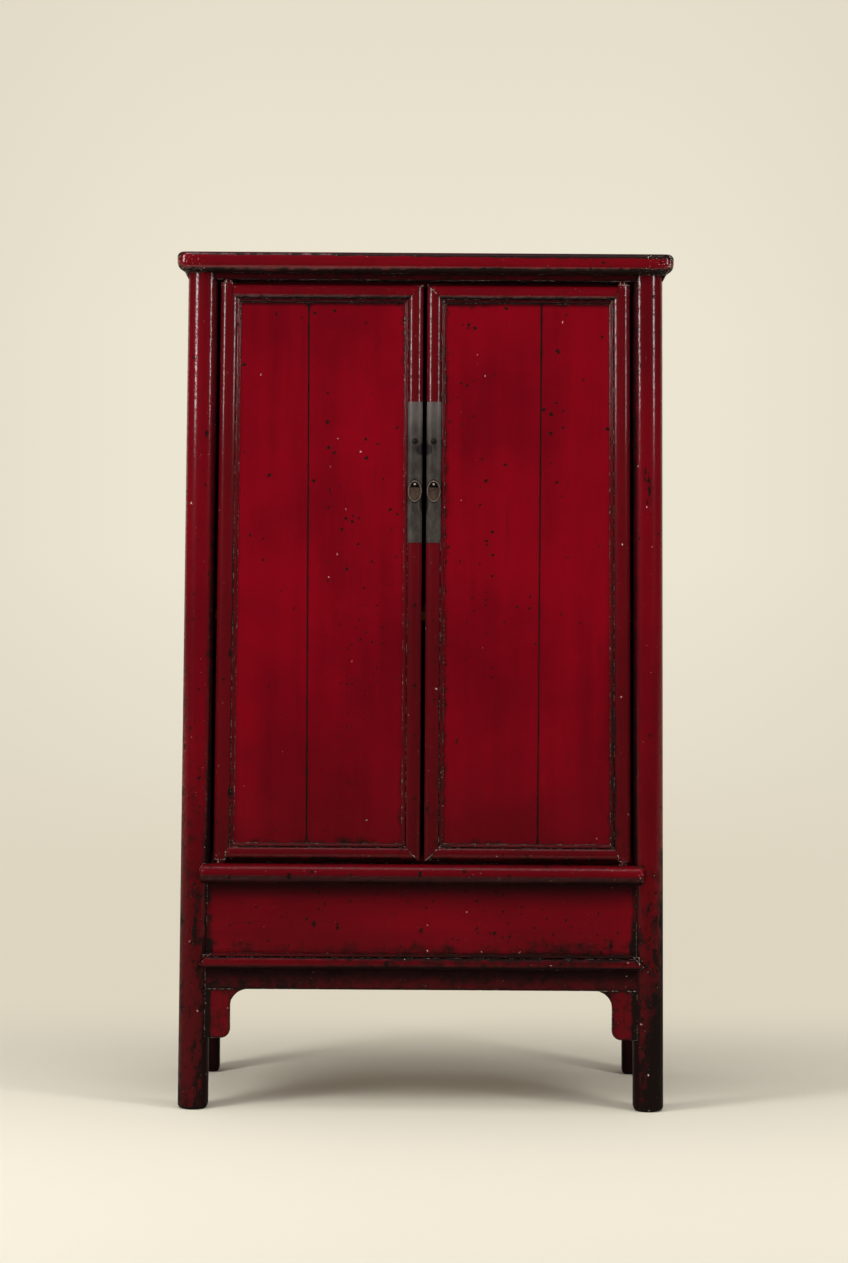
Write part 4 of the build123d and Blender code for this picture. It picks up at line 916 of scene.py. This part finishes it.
ON_PULL = (PULL_MIDDLE[0], PULL_HALF[0]), (PULL_MIDDLE[2], PULL_HALF[2])
ROUND_STUD = (PULL_MIDDLE[0], 0.0085), (LOCK_STUD_UP, 0.0085)
BESIDE_GAP = (0.0060, 0.0105), (LOCK_STUD_UP - 0.017, 0.0125)
BELOW_PULL = (0.004, 0.008), (PULL_LOW[2] - 0.004, 0.026)
ON_BEAD = (PULL_MIDDLE[0], 0.0024), (PULL_STUD_UP, 0.0024)


def from_mark(finish, mark):
    """How far a place is from the middle of a mark: 1 on the mark's outline."""
    x, y, z = finish.xyz
    across, along = mark
    return oval((abs(x), *across), (z, *along))


def plate_marks(finish, colour, grains):
    """A painted sheen near its top, and black painted shadow and grime behind and below the pull, round the
    studs and at the gap beside them.
    """
    behind_pull = step(finish, from_mark(finish, ON_PULL), 1.22, 0.98)
    round_stud = step(finish, from_mark(finish, ROUND_STUD), 1.0, 0.6)
    beside_gap = step(finish, from_mark(finish, BESIDE_GAP) + (grains - 0.5) * 0.3, 1.1, 0.85)
    below_pull = step(finish, from_mark(finish, BELOW_PULL), 1.0, 0.5)
    shadow_and_grime = larger(finish, larger(finish, behind_pull, round_stud), larger(finish, beside_gap, below_pull))
    sheen_near_top = step(finish, finish.xyz[2], PLATE_TOP - 0.10, PLATE_TOP)
    colour = blend(finish, sheen_near_top * 0.35, colour, PLATE_SHEEN)
    return blend(finish, shadow_and_grime * 0.93, colour, SHADOW_AND_GRIME), shadow_and_grime


def pull_marks(finish, colour, grains):
    """A pale painted highlight along the raised lip, broken up by noise, and painted shade on the black edge
    outside it.
    """
    out = from_mark(finish, ON_PULL)
    lip = step(finish, out, 0.87, 0.92) * step(finish, out, 0.985, 0.955) * step(finish, grains, 0.38, 0.56)
    colour = blend(finish, step(finish, out, 0.965, 0.99) * 0.8, colour, PULL_EDGE_SHADE)
    return blend(finish, lip * 0.8, colour, PULL_LIP_HIGHLIGHT), 0.0


def stud_marks(finish, colour, grains):
    """A painted highlight on the bead in the middle of the stud that carries the pull."""
    return blend(finish, step(finish, from_mark(finish, ON_BEAD), 1.1, 0.7), colour, BEAD_HIGHLIGHT), 0.0


plate_iron = old_metal("plate_iron", screen(52, 46, 43), screen(80, 73, 68), metallic=0.35, rough=0.36,
                       rub=0.35, grain=(1, 1, 0.6), marks=plate_marks)
stud_iron = old_metal("stud_iron", screen(9, 6, 6), screen(20, 15, 14), metallic=0.1, rough=0.08,
                      rub=0.1, marks=stud_marks)
pull_bronze = old_metal("pull_bronze", screen(62, 47, 41), screen(92, 74, 64), metallic=0.4, rough=0.36,
                        rub=0.4, marks=pull_marks)
print("three old metals; the pull is", [round(2000 * half, 1) for half in PULL_HALF], "mm")

# %% [markdown]
# ## Handing out the finishes
# Each piece gets the finish whose grain runs along it. Naming a finish for each of the pieces would take
# a long list, so rules give it by a part of the piece's name, and the first rule that fits counts.

# %% Hand out the finishes
RULES = [
    ("face_plate", plate_iron),
    ("stud", stud_iron),
    ("_pull", pull_bronze),
    ("battens", bare_across),
    ("floor_lid", bare_across),
    ("bottom_board", bare_across),
    ("shelf_bearer", bare_deep),
    ("lid_bearer", bare_deep),
    ("cap_batten", bare_deep),
    ("shelf", bare_across),
    ("back_upper_panel", back_up),
    ("back_lower_panel", back_across),
    ("back_top_rail", back_across),
    ("back_waist_rail", back_across),
    ("back_lower_rail", back_across),
    ("back_left_post", back_post_lacquer),
    ("back_right_post", back_post_lacquer),
    ("post", post_lacquer),
    ("stile", stile_lacquer),
    ("_board", board_lacquer),
    ("door_top_rail", door_rail_lacquer),
    ("door_bottom_rail", door_rail_lacquer),
    ("lower_panel", lower_panel_lacquer),
    ("cap_panel", cap_across_lacquer),
    ("cap_front_rail", cap_across_lacquer),
    ("cap_back_rail", cap_across_lacquer),
    ("cap_", cap_deep_lacquer),
    ("front_apron", apron_lacquer),
    ("front_top_rail", top_rail_lacquer),
    ("bracket", bracket_lacquer),
    ("front_", across_lacquer),
    ("waist_rail", across_lacquer),
    ("left_panel", side_lacquer),
    ("right_panel", side_lacquer),
    ("", deep_lacquer),
]
given = {}
for name, piece in pieces.items():
    finish = next(material for word, material in RULES if word in name)
    for slot in piece.material_slots:
        slot.material = finish
    given.setdefault(finish.name, []).append(name)
for finish_name, names in given.items():
    print(finish_name, "on", len(names))

# %% [markdown]
# ## Shapes
# The finishes change no shape.

# %% Shapes
print("the finishes change no shape")
